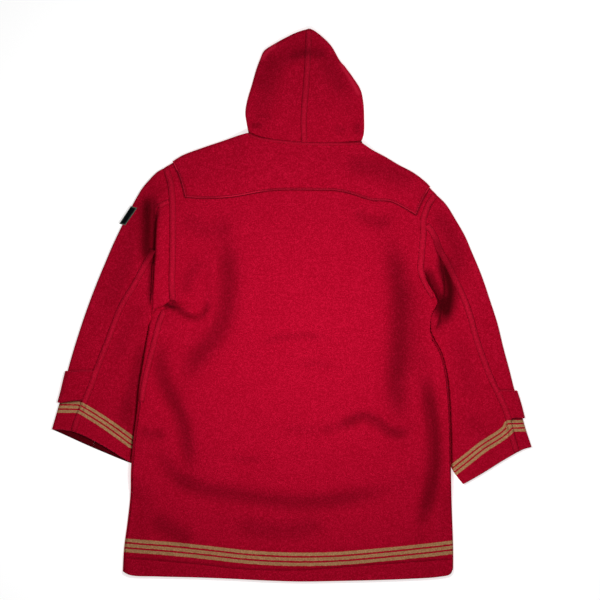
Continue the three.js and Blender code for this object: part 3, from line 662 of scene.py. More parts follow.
# %% [markdown]
# ## The body: folds
# Troughs and ridges of the back, each with its width and its depth in millimetres.
# %% Body folds
BODY_FOLDS = [
    ("left chest trough", 23, -9.5, [
        (-158, 182), (-146, 120), (-143, 43), (-152, -26), (-170, -67), (-197, -101), (-221, -131),
        (-240, -160), (-250, -195),
    ]),
    ("left chest ridge", 15, 5, [
        (-181, 153), (-172, 98), (-170, 21), (-178, -30), (-200, -72), (-230, -108), (-258, -140),
    ]),
    ("left side trough", 17, -9, [
        (-280, -45), (-288, -95), (-291, -130), (-286, -165), (-272, -200), (-255, -232), (-242, -268),
        (-234, -315), (-232, -355), (-240, -395),
    ]),
    ("left dent", 13, -6, [(-336, -266), (-320, -284), (-300, -289), (-277, -286)]),
    ("left middle crease", 9, -2.5, [(-140, -340), (-100, -346), (-60, -342)]),
    ("left armpit curl", 7, -7, [(-250, -4), (-240, -16), (-226, -26), (-206, -26), (-192, -10), (-184, 14)]),
    ("long low sweep", 20, -7.5, [
        (-340, -300), (-305, -325), (-282, -350), (-255, -386), (-202, -410), (-114, -426), (18, -441),
        (117, -432), (205, -413), (262, -392),
    ]),
    ("lower sweep", 26, -5, [(-150, -483), (-70, -501), (18, -501), (92, -474)]),
    ("left hem corner", 24, -6.5, [(-321, -470), (-268, -505), (-213, -531)]),
    ("right side hollow", 30, -4.5, [(236, 80), (262, 20), (268, -50), (258, -130), (250, -200)]),
    ("right chest trough", 24, -10, [
        (202, 177), (229, 98), (238, 10), (236, -78), (231, -166), (238, -245), (244, -300),
    ]),
    ("curl under the yoke", 13, -4.5, [(132, 217), (163, 190), (198, 182), (224, 201)]),
    ("right wave", 12, -8.5, [
        (80, -280), (119, -265), (158, -250), (190, -262), (216, -282), (244, -286), (272, -268),
    ]),
    ("right side trough", 16, -12.5, [
        (290, -120), (300, -188), (313, -274), (316, -349), (304, -426), (292, -474), (284, -530),
    ]),
    ("waist crease", 8, -3.5, [(-80, -95), (-50, -80), (-10, -72), (40, -70), (84, -77)]),
    ("lower waist crease", 10, -2.2, [(5, -136), (50, -132), (98, -141)]),
    ("middle crease", 13, -2, [(-35, -276), (62, -280), (114, -265)]),
    ("shoulder trough", 24, -6, [(97, 318), (194, 300), (290, 265)]),
    ("right armpit bulge", 24, 6, [(292, 90), (304, 40), (306, 0), (296, -50)]),
    ("left armpit pit", 7, -18, [(-286, 0), (-268, -3), (-252, -10)]),
    ("left armpit trough", 15, -4, [(-243, 15), (-236, 45), (-222, 78), (-200, 110)]),
    ("left shoulder blade", 20, -3.5, [(-255, 205), (-215, 175), (-170, 160), (-130, 190)]),
]
BODY_LIPS = [
    ("left armpit crease", 8, 6, 40, [
        (-272, 12), (-259, 4), (-247, -12), (-237, -22), (-214, -27), (-200, -20),
    ]),
]
HEM_STITCHES = [(-366, -557), (-281, -564), (-187, -573), (-108, -582), (18, -584), (156, -574), (348, -560)]
# The hem's stitched groove: its width, its depth and the painted shade in it.
GROOVE_WIDTH, GROOVE_DEPTH, GROOVE_SHADE = 2.4, 1.3, 0.3
HEM_BARS = [
    (-373, -529.5), (-280, -536), (-190, -545), (-100, -555), (-9, -560), (90, -559), (200, -550),
    (356, -534),
]
MIDDLE, LOWEST_MIDDLE, LOWEST_BACK = 0.08, 9.8, 7.0
SHOULDER_BLEND = 0.07
BAR_STEPS = 40


def edges_at(v):
    """The side edges of the body at a share of its length, and the width between them."""
    left, right = body_edge["left"](v), body_edge["right"](v)
    return left, right, np.linalg.norm(right - left, axis=-1)


def overlap_at(side, y):
    start, full, still_full, end = OVERLAPS[side]
    return OVER_SLEEVE * smooth((start - y) / (start - full)) * smooth((y - end) / (still_full - end))


def shoulder_at(u):
    return 1 - smooth((np.minimum(u, 1 - u) - NECK_LEFT + SHOULDER_BLEND) / SHOULDER_BLEND)


def back_height(u, v, xy):
    left, right, width = edges_at(v)
    height = CROWN + folds_at(BODY_FOLDS, xy) + lips_at(BODY_LIPS, xy)
    height = np.maximum(height, np.where(np.abs(u - 0.5) < MIDDLE, LOWEST_MIDDLE, LOWEST_BACK))
    height = mix(HEM_HEIGHT, height, smooth((1 - v) * BODY_LENGTH / HEM_REACH))
    height -= GROOVE_DEPTH * bell(nearest_on(steps_of(HEM_STITCHES), xy)[0], GROOVE_WIDTH)
    tubed = upper_near(height, u * width, overlap_at("left", left[..., 1]), FOLD_HEIGHT)
    tubed = upper_near(tubed, (1 - u) * width, overlap_at("right", right[..., 1]), FOLD_HEIGHT)
    height = np.where(v > PIT_SHARE, tubed, height)
    return mix(height, upper_near(height, v * BODY_LENGTH, 0, FOLD_HEIGHT), shoulder_at(u))


def front_height(u, v, lapped):
    left, right, width = edges_at(v)
    folded = lower_near(u * width, overlap_at("left", left[..., 1]), FOLD_HEIGHT)
    folded = folded + lower_near((1 - u) * width, overlap_at("right", right[..., 1]), FOLD_HEIGHT)
    height = lapped + np.where(v > PIT_SHARE, folded, 0)
    return mix(height, np.maximum(height, lower_near(v * BODY_LENGTH, 0, FOLD_HEIGHT)), shoulder_at(u))


def line_mark(path, points, width, beside=0.0):
    """A soft line along a path, or a distance beside it: 1 on the line, 0 well away from it."""
    return bell(nearest_on(path, points[:, :2])[0] - beside, width)


def body_hollow(points):
    # Painted shade in the folds and in the hem's stitched groove.
    groove = GROOVE_SHADE * line_mark(steps_of(HEM_STITCHES), points, GROOVE_WIDTH)
    return np.maximum(hollows_at(BODY_FOLDS, BODY_LIPS, points[:, :2]), groove)


def bars_of(points, *paths):
    """Signed distance from points to the middle of the woven bars, the nearest path of several."""
    best = np.full(len(points), FAR / MM)
    for path in paths:
        gap, side, _ = nearest_on(steps_of(path, BAR_STEPS), points[:, :2])
        best = np.where(gap < np.abs(best), gap * side, best)
    return best


# %% [markdown]
# ## The body: back and fronts
# The back is cut whole. The side seams lie a little in from the folded edge, so the fronts wrap round them.
# The two fronts lap at the centre under the coat. They can't be seen, so they are plain.
# %% Back and fronts
BODY_WIDTH, YOKE_WIDTH = 640, 610
OVER_YOKE_LENGTH, UNDER_YOKE_LENGTH = 1350, 913  # millimetres for a whole share, either side of its edge
HEM_ROWS, HEM_STEPS = 0.945, 25
EDGE_STITCH_STEPS = np.array([1.2, 2.4, 3.4, 4.4, 5.6])
OUTSIDE_STEPS = np.array([1.0, 2.3, 3.8])
near_yoke = np.concatenate([EDGE_STITCH_STEPS, -OUTSIDE_STEPS]) / YOKE_WIDTH
YOKE_COLUMNS = (YOKE_EDGE, 1 - YOKE_EDGE, *(YOKE_EDGE + near_yoke), *(1 - YOKE_EDGE - near_yoke))
BODY_ROWS = shares(BODY_LENGTH, fine_start=True, marks=(YOKE_SHARE, PIT_SHARE))
BODY_ROWS = np.unique(np.concatenate([
    BODY_ROWS[BODY_ROWS < HEM_ROWS], np.linspace(HEM_ROWS, 1, HEM_STEPS),
    YOKE_SHARE - EDGE_STITCH_STEPS / OVER_YOKE_LENGTH, YOKE_SHARE + OUTSIDE_STEPS / UNDER_YOKE_LENGTH,
]))
BODY_COLUMNS = shares(BODY_WIDTH, True, True, marks=YOKE_COLUMNS)
FRONT_LAP = 32 / BODY_WIDTH
FRONT_PLAIN, FRONT_FLAT = 0.43, 0.44
FRONT_ENDS = {"left": (0.46, 0.48, 0.5, 0.525), "right": (0.5 - FRONT_LAP, 0.475, 0.5, 0.525)}
LAP_HEIGHT = 3.5
HIDDEN_SPACING = 12
SEAM_START = 0.02
WRAP_STEPS = 9
# A painted shadow along the yoke's edge, on the cloth just outside it.
YOKE_SHADE, YOKE_SHADE_WIDTH = 0.85, 2.3
body = Weave()


def seam_share(side, v):
    """The share of the body's width that lies between the folded edge and the side seam."""
    offset = np.interp(body_edge[side](v)[..., 1], SIDE_SEAMS["at"], SIDE_SEAMS[side])
    return offset * smooth((v - PIT_SHARE) / SEAM_START) / edges_at(v)[2]


columns, rows = np.meshgrid(BODY_COLUMNS, BODY_ROWS)
columns = mix(seam_share("left", rows), 1 - seam_share("right", rows), columns)
back_points = back_plan(columns, rows)
back_quads = body.add("back", lifted(back_points, back_height(columns, rows, back_points)), True)

below_pit = BODY_ROWS[BODY_ROWS >= PIT_SHARE]
for side in SIDE_NAMES:
    turn = (lambda u: u) if side == "left" else (lambda u: 1 - u)
    half = shares(BODY_WIDTH, True, False, spacing=HIDDEN_SPACING)
    half = [*half[half < FRONT_PLAIN], FRONT_FLAT, *FRONT_ENDS[side], 0.5 + FRONT_LAP]
    u, v = np.meshgrid(half, BODY_ROWS)
    lapped = np.where((u > FRONT_FLAT) & (side == "right"), LAP_HEIGHT, 0.0)
    body.add("front_" + side, lifted(front_plan(turn(u), v), front_height(turn(u), v, lapped)), False)
    share, v = np.meshgrid(np.linspace(0, 1, WRAP_STEPS), below_pit)
    u = turn(share * seam_share(side, v))
    xy = back_plan(u, v)
    body.add("front_" + side, lifted(xy, back_height(u, v, xy)), True)

body.finish()
yoke_edge = np.vstack([
    over_yoke(np.full(20, YOKE_EDGE), np.linspace(0, 1, 20)),
    over_yoke(np.linspace(YOKE_EDGE, 1 - YOKE_EDGE, 80), np.ones(80))[1:],
    over_yoke(np.full(20, 1 - YOKE_EDGE), np.linspace(1, 0, 20))[1:],
])
cloth = {}
for name in ("back", "front_left", "front_right"):
    points, faces, source = body.panel(name)
    # Painted shade in the folds and a painted shadow along the yoke's edge.
    deep = np.maximum(body_hollow(source), YOKE_SHADE * line_mark(yoke_edge, source, YOKE_SHADE_WIDTH))
    cloth[name] = to_object(name + "_cloth", points, faces, wool, bars_of(source, HEM_BARS), deep)

# %% [markdown]
# ## Sleeves
# Each sleeve has a wide outer half and a narrow under half, with a felled seam down its back.
# Its outer edge is a fold. Its inner edge is a fold too, and the body's side lies over part of it.
# %% Sleeve lines
STRAP_SHARES = (0.8, 0.88)
BADGE_SHARES = (0.17, 0.243)
SLEEVES = {
    "left": {
        "outer": [
            (-283, 300), (-297, 292), (-315, 274), (-330, 256), (-351, 220), (-373, 177), (-394, 133),
            (-409, 98), (-431, 45), (-451, -8), (-469, -61), (-485, -113), (-496, -153), (-506, -195),
            (-518, -237), (-529, -275),
        ],
        "seam": [
            (-268.5, 228), (-284, 221), (-297, 210), (-302, 175), (-306, 128), (-323, 94), (-348, 47),
            (-378, -3), (-408, -80), (-428, -131), (-446, -182), (-460, -215), (-473, -247),
            (-484, -279.5),
        ],
        "inner": [
            (-268.5, 9.5), (-284, -3), (-301, -11), (-307, -22), (-309, -36), (-308, -63), (-313, -116),
            (-320, -179), (-327, -234), (-338, -298), (-348, -352),
        ],
        "armhole_seam": (-268, 227),
        "cuff_outer": [(-529, -275), (-505, -276.5), (-484, -279.5)],
        "cuff_inner": [(-484, -279.5), (-471, -284), (-439, -299), (-400, -321), (-368, -341), (-348, -352)],
        "cuff_under": [(-529, -275), (-504, -286), (-458, -307), (-409, -328), (-370, -344), (-348, -352)],
        "strap": (((-494, -147), (-516, -216)), ((-436, -144), (-459, -210))),
        "badge": ((-350, 220), (-374, 176)),
        "outward": -1,
        "bars_outer": [(-522, -225.5), (-498, -225.5), (-472, -226)],
        "bars_inner": [(-464, -228), (-420, -255.5), (-386, -279), (-352, -304)],
    },
    "right": {
        "outer": [
            (320, 240), (339, 221), (361, 186), (381, 151), (396, 116), (418, 63), (436, 10), (453, -43),
            (466, -96), (480, -148), (489, -184), (500, -219), (508, -250), (516, -278), (528, -314),
        ],
        "seam": [
            (295, 178), (312, 153), (325, 119), (339, 96), (359, 55), (379, 11), (391, -22), (403, -66),
            (420, -117), (440, -167), (456, -200), (473, -240), (483, -284), (495, -326),
        ],
        "inner": [
            (305, -60), (306, -72), (315, -100), (326, -130), (333, -165), (337, -210), (341, -298),
            (345, -340), (352, -362), (364, -380), (377, -396),
        ],
        "armhole_seam": (294, 178),
        "cuff_outer": [(528, -314), (512, -318), (495, -326)],
        "cuff_inner": [(495, -326), (464, -344), (429, -366), (402, -382), (377, -396)],
        "cuff_under": [
            (528, -314), (512, -318), (492, -328), (464, -344), (429, -366), (402, -382), (377, -396),
        ],
        "strap": (((495, -189), (515, -250)), ((454, -189), (477, -253))),
        "badge": None,
        "outward": 1,
        "bars_outer": [(478, -267), (500, -267), (520, -266)],
        "bars_inner": [(356, -364), (391, -336.5), (418, -315), (464, -285), (482, -268)],
    },
}
SLEEVE_FOLDS = [
    ("left trough by the roll", 17, -17, [
        (-310, 262), (-316, 236), (-317, 205), (-318, 170), (-319, 120), (-314, 70),
    ]),
    ("left inner valley", 18, -6, [(-330, -60), (-346, -150), (-360, -230), (-362, -310)]),
    ("left outer shade", 26, -4.5, [(-312, 270), (-345, 190), (-362, 120), (-395, 40), (-430, -50)]),
    ("left elbow", 22, -3, [(-330, 20), (-372, -60), (-392, -140)]),
    ("left forearm", 20, -2.5, [(-360, -190), (-385, -255), (-395, -300)]),
    ("right head trough", 20, -6.5, [(312, 226), (334, 183), (360, 134), (370, 80), (372, 40)]),
    ("right trough by the roll", 16, -20, [(326, 122), (340, 70), (348, 30), (343, -10), (322, -56)]),
    ("right armpit valley", 11, -14, [(293, 92), (304, 56), (320, 24), (328, 5), (320, -14), (310, -36)]),
    ("right elbow", 22, -3, [(360, -60), (384, -130), (400, -220)]),
    ("right forearm", 20, -2.5, [(385, -240), (420, -290), (440, -330)]),
]
SLEEVE_LIPS = [
    ("left roll", 11, 5, 50, [(-290, 222), (-299, 190), (-302, 150), (-304, 110), (-307, 54), (-309, -14)]),
    ("right roll", 11, 5, 44, [
        (312, -72), (322, -45), (333, -12), (338, 22), (336, 58), (330, 90), (318, 128), (304, 165),
    ]),
]
CUFF_HEIGHT = 9.6
LOWEST_TOP = 7.0
JOIN_REACH = 50.0
PIT_LIFT = {"left": (-40, -14, 9.0), "right": (200, 210, 0.0)}  # the sleeve's end lies over the body here
SLEEVE_LENGTH = 610.0
ARMHOLE_SHIFT = 0.1
# Below this height the cloth is inside the sleeve, and its colour gets this much painted shade.
INSIDE_BELOW, INSIDE_SHADE = 3.0, 0.9
FLAT_AT = 0.9  # share of the length from which the sleeve lies as flat as its cuff
HEAD_JOINED, HEAD_BLEND = 0.62, 0.1  # the right head meets the body down to here
# Painted shadow beside the cuff strap's upper and lower edge, and its width.
STRAP_SHADE, STRAP_SHADE_WIDTH = (0.4, 1.0), 2.8
# Painted highlight along the cuff's folded edge.
CUFF_HIGHLIGHT = 0.7
HIDDEN_WIDTH = 140
HALVES = {"top": ("outer", 90, (0, 0.5)), "under": ("inner", 200, (0.5, 1))}
CUFF_BARS = 1.16
WELT_WIDTH = 1.7

# %% [markdown]
# The sleeve's head meets the body at the height that the body has there, so the two surfaces run on smoothly.
# %% Sleeves


def body_share(side, on_armhole):
    """The body's share down from the shoulder at a share of the armhole."""
    at_yoke = ON_ARMHOLE[side]
    below = mix(YOKE_SHARE, PIT_SHARE, (on_armhole - at_yoke) / (1 - at_yoke))
    return np.where(on_armhole <= at_yoke, on_armhole / at_yoke * YOKE_SHARE, below)


def armhole_height(side, on_armhole):
    v = np.clip(body_share(side, on_armhole), 0, PIT_SHARE)
    u = np.zeros_like(v) if side == "left" else np.ones_like(v)
    return back_height(u, v, body_edge[side](v))


sleeves = {}
for side, cut in SLEEVES.items():
    sleeve = Weave()
    armhole = moved(ARMHOLES[side], np.array([cut["outward"] * ARMHOLE_SHIFT, 0]))
    seam_at = share_near(armhole, cut["armhole_seam"])
    outer_marks = [*zip(BADGE_SHARES, cut["badge"] or ()), *zip(STRAP_SHARES, cut["strap"][0])]
    outer = timed(line([armhole(0.0), *cut["outer"][1:]]), outer_marks)
    seam = timed(line([armhole(seam_at), *cut["seam"][1:]]), list(zip(STRAP_SHARES, cut["strap"][1])))
    inner = line([armhole(1.0), *cut["inner"][1:]])
    plans = {
        "outer": patch(stretch(armhole, 0, seam_at), line(cut["cuff_outer"]), outer, seam),
        "inner": patch(stretch(armhole, seam_at, 1), line(cut["cuff_inner"]), seam, inner),
        "whole": patch(armhole, line(cut["cuff_under"]), outer, inner),
    }

    def folded_edges(xy, v):
        """Distances to the outer and the inner fold, and how high the inner one lies."""
        low, high, lift = PIT_LIFT[side]
        raised = lift * smooth((inner(v)[..., 1] - low) / (high - low))
        return np.linalg.norm(xy - outer(v), axis=-1), np.linalg.norm(xy - inner(v), axis=-1), raised

    def flat_height(xy, v):
        lips = lips_at(SLEEVE_LIPS, xy)
        height = mix(CROWN, CUFF_HEIGHT, smooth(v / FLAT_AT))
        height = height + (folds_at(SLEEVE_FOLDS, xy) + lips) * (1 - v**6)
        thick = np.minimum(FOLD_HEIGHT, mix(FOLD_HEIGHT, CUFF_HEIGHT, v))
        return np.maximum(height, LOWEST_TOP), lips, thick

    def upper(xy, v, on_armhole):
        height, lips, thick = flat_height(xy, v)
        from_outer, from_inner, raised = folded_edges(xy, v)
        head, _, _ = flat_height(armhole(on_armhole), np.zeros_like(v))
        joined = (1 - smooth((on_armhole - HEAD_JOINED) / HEAD_BLEND)) if side == "right" else 1.0
        step = (armhole_height(side, on_armhole) - head) * (1 - smooth(v * SLEEVE_LENGTH / JOIN_REACH))
        height = height + step * joined
        return upper_near(upper_near(height, from_outer, 0, thick), from_inner, raised, thick + lips / 2)

    def lower(xy, v):
        _, lips, thick = flat_height(xy, v)
        from_outer, from_inner, raised = folded_edges(xy, v)
        return np.maximum(lower_near(from_outer, 0, thick), lower_near(from_inner, raised, thick + lips / 2))

    near_strap = [share + way * step / SLEEVE_LENGTH
                  for share in STRAP_SHARES for way in (-1, 1) for step in OUTSIDE_STEPS]
    near_cuff = 1 - OUTSIDE_STEPS / SLEEVE_LENGTH
    down = shares(SLEEVE_LENGTH, marks=(*STRAP_SHARES, *BADGE_SHARES, *near_strap, *near_cuff))
    strap_edges = [plans["outer"](np.linspace(0, 1, 20), np.full(20, share)) for share in STRAP_SHARES]
    quads = {}
    for half, (plan, across, (low, high)) in HALVES.items():
        name = f"sleeve_{side}_{half}"
        fine = (plan == "outer", plan == "inner")
        start, end = (0, seam_at) if half == "top" else (seam_at, 1)
        u, v = np.meshgrid(shares(across, *fine), down)
        xy = plans[plan](u, v)
        quads[half] = sleeve.add(name, lifted(xy, upper(xy, v, mix(start, end, u))), True)
        u, v = np.meshgrid(shares(HIDDEN_WIDTH, *fine, spacing=HIDDEN_SPACING), down)
        xy = plans["whole"](mix(low, high, u), v)
        sleeve.add(name, lifted(xy, lower(xy, v)), False)
    sleeve.finish()
    sleeves[side] = {"weave": sleeve, "quads": quads["top"], "down": down, "strap_edges": strap_edges}
    for half in HALVES:
        name = f"sleeve_{side}_{half}"
        points, faces, source = sleeve.panel(name)
        # Painted shade in the sleeve's folds and beside its rolls.
        deep = hollows_at(SLEEVE_FOLDS, SLEEVE_LIPS, source[:, :2])
        if half == "top":
            # Painted shadow beside the strap's edges.
            for amount, path in zip(STRAP_SHADE, strap_edges):
                deep = np.maximum(deep, amount * line_mark(path, source, STRAP_SHADE_WIDTH))
        # Inside the sleeve the cloth is in painted shade.
        deep = np.where(source[:, 2] < INSIDE_BELOW, INSIDE_SHADE, deep)
        cuff = steps_of(cut["cuff_outer"] + cut["cuff_inner"][1:])
        # A painted highlight along the cuff's edge, on the outside only.
        painted_highlight = np.where(deep < INSIDE_SHADE, CUFF_HIGHLIGHT * line_mark(cuff, source, WELT_WIDTH), 0)
        bars = bars_of(source, cut["bars_outer"], cut["bars_inner"]) * CUFF_BARS
        cloth[name] = to_object(name + "_cloth", points, faces, wool, bars, deep, painted_highlight)

# %% [markdown]
# ## Hood
# The hood lies folded back over the collar. Two shaped halves meet in a felled seam over the crown.
# %% Hood
HOOD_CROWN, HOOD_NECK, HOOD_FOLD, HOOD_REACH, HOOD_RISE = 31.0, 20.0, 13.0, 7.0, 60.0
HOOD_LENGTH, HOOD_WIDTH = 250, 130
HOOD_SPACING, HOOD_HIDDEN_SPACING = 4.5, 9
# Width and strength of the painted highlights along the hood's folded edges.
HOOD_HIGHLIGHT_WIDTH, HOOD_HIGHLIGHT_SHARE = 4.0, 0.7
NECK_SLOPE = 0.35
TIP_OPEN = (0.9, 0.93)  # the lower layers stop short of each other at the tip
HOOD_SEAM = [(27, 356), (26, 413), (30, 469), (34, 525), (36, 570), (38, 608)]
HOOD_SIDES = {
    "left": {
        "fold": [(-96, 378), (-100, 399), (-103, 421), (-99, 448), (-89, 482), (-78, 520), (-70, 541)],
        "top": [(-70, 541), (-62, 558), (-35, 576), (-13, 588), (10, 599), (38, 608)],
        "face": [(-26, 289), (-14, 340), (2, 430), (12, 500), (24, 550), (34, 582), (38, 608)],
        "neck": (0, 0.475),
        "front_neck": (0, 0.4),
    },
    "right": {
        "fold": [(152, 357), (158, 374), (159, 413), (157, 446), (151, 473), (133, 502), (116, 525)],
        "top": [(116, 525), (106, 536), (86, 570), (66, 590), (46, 605), (38, 608)],
        "face": [(84, 289), (76, 340), (62, 430), (54, 500), (46, 550), (41, 582), (38, 608)],
        "neck": (1, 0.475),
        "front_neck": (1, 0.63),
    },
}
HOOD_FOLDS = [
    ("trough below the tip", 12, -8, [(-18, 542), (8, 553), (36, 558), (60, 554), (88, 542)]),
    ("left flank", 26, -5, [(-28, 552), (-50, 530), (-66, 500), (-72, 462)]),
    ("right flank", 20, -4, [(62, 548), (84, 520), (102, 494), (114, 460)]),
    ("left neck crease", 6, -4, [(-86, 414), (-66, 417), (-46, 410)]),
    ("left lower crease", 8, -8, [(-94, 392), (-80, 394), (-66, 400)]),
    ("right neck crease", 9, -4, [(92, 388), (106, 385), (122, 388)]),
    ("right lower crease", 7, -7, [(146, 402), (144, 386), (146, 372)]),
]
# Paths of painted highlights along the hood's folded edges.
HOOD_HIGHLIGHTS = [[(108, 528), (130, 494), (146, 464)], [(-66, 542), (-54, 556), (-38, 570)]]
NECK_SHIFT = np.array([0, 0.1])
hood = Weave()
hood_edge = {side: (line([np.add(cut["fold"][0], NECK_SHIFT), *cut["fold"][1:]]), line(cut["top"]))
             for side, cut in HOOD_SIDES.items()}


def from_hood_edge(xy, u, v):
    """Distance to the hood's folded edges, which meet at its tip."""
    at = np.linspace(0, 1, LINE_STEPS + 1)
    edges = [part(at) for parts in hood_edge.values() for part in parts]
    apart = np.minimum.reduce([nearest_on(edge, xy)[0] for edge in edges])
    return np.where((v >= 1) | (u <= 0), 0, apart)


for side, cut in HOOD_SIDES.items():
    fold, top = hood_edge[side]
    neck = stretch(moved(neck_line, NECK_SHIFT), *cut["neck"])
    front_neck = stretch(moved(front_neck_line, NECK_SHIFT), *cut["front_neck"])
    seam = line([neck(1.0), *HOOD_SEAM[1:]])
    face = line([front_neck(1.0), *cut["face"][1:]])
    name = "hood_" + side
    up = shares(HOOD_LENGTH, fine_end=True, spacing=HOOD_SPACING)
    u, v = np.meshgrid(shares(HOOD_WIDTH, True, False, spacing=HOOD_SPACING), up)
    xy = patch(neck, top, fold, seam)(u, v)
    apart = from_hood_edge(xy, u, v)
    crown = mix(HOOD_NECK, HOOD_CROWN, smooth(v / NECK_SLOPE)) + folds_at(HOOD_FOLDS, xy)
    inside = mix(HOOD_FOLD, crown, smooth((apart - HOOD_REACH) / HOOD_RISE))
    height = HOOD_FOLD / 2 + (inside - HOOD_FOLD / 2) * bow(apart, HOOD_REACH)
    hood.add(name, lifted(xy, height), True)
    u, v = np.meshgrid(shares(HOOD_WIDTH, True, False, spacing=HOOD_HIDDEN_SPACING), up)
    xy = patch(front_neck, top, fold, face)(u, v)
    keep = ~((v[:-1, :-1] > TIP_OPEN[0]) & (u[:-1, :-1] > TIP_OPEN[1]))
    hood.add(name, lifted(xy, lower_near(from_hood_edge(xy, u, v), 0, HOOD_FOLD, HOOD_REACH)), False, keep)

hood.finish()
for name in ("hood_left", "hood_right"):
    points, faces, source = hood.panel(name)
    # Painted highlights along the hood's folded edges, and painted shade in its folds, lifted under the
    # highlights.
    marks = [line_mark(steps_of(path), source, HOOD_HIGHLIGHT_WIDTH) for path in HOOD_HIGHLIGHTS]
    painted_highlight = HOOD_HIGHLIGHT_SHARE * np.maximum.reduce(marks)
    deep = hollows_at(HOOD_FOLDS, (), source[:, :2]) * (1 - painted_highlight)
    cloth[name] = to_object(name + "_cloth", points, faces, wool, None, deep, painted_highlight)

# %% [markdown]
# ## Pieces that lie on the cloth
# The yoke, the two cuff straps and the tab are laid on a panel and stitched down.
# The yoke and the straps are made from the panel's own points, moved out, so each follows every fold below
# it.
# %% Yoke and straps
OVERLAY = 2.6
STITCH_DIP = 1.3
DIP_WIDTH = 1.1
FROM_EDGE = 3.6
STRAP_THICK = 4.8
BADGE = 1.6
# Painted shade in the yoke's stitched groove, and painted highlights along the yoke's and the straps' edges.
YOKE_GROOVE_SHADE = 0.22
YOKE_HIGHLIGHT, YOKE_HIGHLIGHT_AT = 0.9, 0.8
STRAP_HIGHLIGHT = 0.5

yoke_columns = slice(*(step_at(BODY_COLUMNS, edge) for edge in (YOKE_EDGE, 1 - YOKE_EDGE)))
quads = back_quads[:step_at(BODY_ROWS, YOKE_SHARE), yoke_columns].reshape(-1, 4)


def stitch_groove(points):
    """The dip that the row of edge stitching pulls into the yoke."""
    return STITCH_DIP * line_mark(yoke_edge, points, DIP_WIDTH, FROM_EDGE)


points, faces, source = body.wall(quads, LAID_GAP + OVERLAY, LAID_GAP, relief=stitch_groove)
# Painted shade in the folds and the stitched groove, and a painted highlight just inside the yoke's edge.
deep = np.maximum(body_hollow(source), YOKE_GROOVE_SHADE * line_mark(yoke_edge, source, DIP_WIDTH, FROM_EDGE))
painted_highlight = YOKE_HIGHLIGHT * line_mark(yoke_edge, source, WELT_WIDTH, YOKE_HIGHLIGHT_AT)
cloth["back_yoke"] = to_object("back_yoke_cloth", points, faces, wool, None, deep, painted_highlight)

for side, made in sleeves.items():
    low, high = (step_at(made["down"], share) for share in STRAP_SHARES)
    quads = made["quads"][low:high].reshape(-1, 4)
    points, faces, source = made["weave"].wall(quads, LAID_GAP + STRAP_THICK, LAID_GAP)
    # A painted highlight along the strap's upper and lower edge.
    marks = [line_mark(path, source, WELT_WIDTH) for path in made["strap_edges"]]
    painted_highlight = STRAP_HIGHLIGHT * np.maximum.reduce(marks)
    cloth["cuff_strap_" + side] = to_object(f"cuff_strap_{side}_cloth", points, faces, wool, None, 0.0, painted_highlight)

# %% [markdown]
# ## The tab
# A small plain black woven tab lies over the outer fold of the left sleeve. It carries nothing.
# %% Tab
# The outer edge comes first, then the inner edge.
TAB_CORNERS = [(-380.6, 177.5), (-354.6, 216.7), (-367.0, 174.2), (-340.6, 212.3)]
TAB_LOWEST = 7.5
TAB_EDGE = 1.3
TAB_DARK, TAB_LIGHT = (0.001, 0.0014, 0.002, 1), (0.003, 0.004, 0.005, 1)
# The lighter colour of the tab's rim is a painted highlight.
TAB_EDGE_COLOUR = (0.10, 0.13, 0.10, 1)


def make_tab_material():
    paint, weave, black = finely_woven("tab", TAB_DARK, TAB_LIGHT, 0.75, 0.06)
    # The tab's rim gets a painted highlight.
    paint.surface({"Base Color": paint.blend(paint.attribute("painted_highlight"), black, TAB_EDGE_COLOUR)})
    paint.bump(weave, 0.5, 0.0004)
    return paint.material


# %% [markdown]
# ## Felled seams
# In such thick cloth the seams are felled: one edge is turned over the other and stitched flat twice.
# What shows is a raised band with a stitched groove near each side. It covers the join itself.
# Each band is draped over the finished cloth: rays are dropped on it along the seam.
# %% Felled seams
DROP_FROM = 0.2
RAYS = ((0, 0), (1.6, 0), (-1.6, 0), (0, 1.6), (0, -1.6))
BAND_STEP = 3.0
SUNK = 1.2
BAND_HALF = [
    (0.0, 1.05), (0.22, 1.05), (0.45, 0.95), (0.54, 0.66), (0.63, 0.95), (0.72, 0.86), (0.79, 0.45),
    (0.84, 0.16), (0.92, 0.1), (0.985, 0.06), (1.0, -0.15),
]
BAND_PROFILE = [(-share, up) for share, up in BAND_HALF[:0:-1]] + BAND_HALF
END_TAPER = 4.0
STITCH_AT = 0.54
# Across a band: painted shade along its stitched grooves and its edges, and a painted highlight on its raised
# top.
BAND_SHADE_AT = (0.0, 0.45, 0.54, 0.63, 0.74, 0.84, 0.92, 1.0)
BAND_SHADE = (0.0, 0.0, 0.16, 0.0, 0.06, 0.7, 0.34, 0.0)
BAND_HIGHLIGHT = (0.16, 0.2, 0.0, 0.32, 0.28, 0.0, 0.0, 0.0)
# How much painted shade a band takes from the sleeve's folds, and how much of its own a neck band has.
RAISED_SHADE, NECK_SHADE = 0.6, 0.3
END_RISE = 0.15
MIDDLE_RAYS = 0.45
BASE_SHARES = (0.8, 0, -0.8)
STITCH_RISE = 0.7
SEARCH_POINTS = 200
BELOW_CREASE = -11.0


def cloth_hollow(xy, name):
    """The painted shade of the cloth that a band lies on, painted on the band too."""
    if "sleeve" in name:
        return RAISED_SHADE * hollows_at(SLEEVE_FOLDS, SLEEVE_LIPS, xy)
    if "hood" in name:
        return hollows_at(HOOD_FOLDS, (), xy)
    return hollows_at(BODY_FOLDS, BODY_LIPS, xy)


def tree_of(pieces):
    """The finished pieces of cloth as one set of faces that rays can be dropped on."""
    points, polygons = [], []
    for piece in pieces:
        start = len(points)
        points += [vertex.co.copy() for vertex in piece.data.vertices]
        polygons += [[start + i for i in face.vertices] for face in piece.data.polygons]
    return BVHTree.FromPolygons(points, polygons)


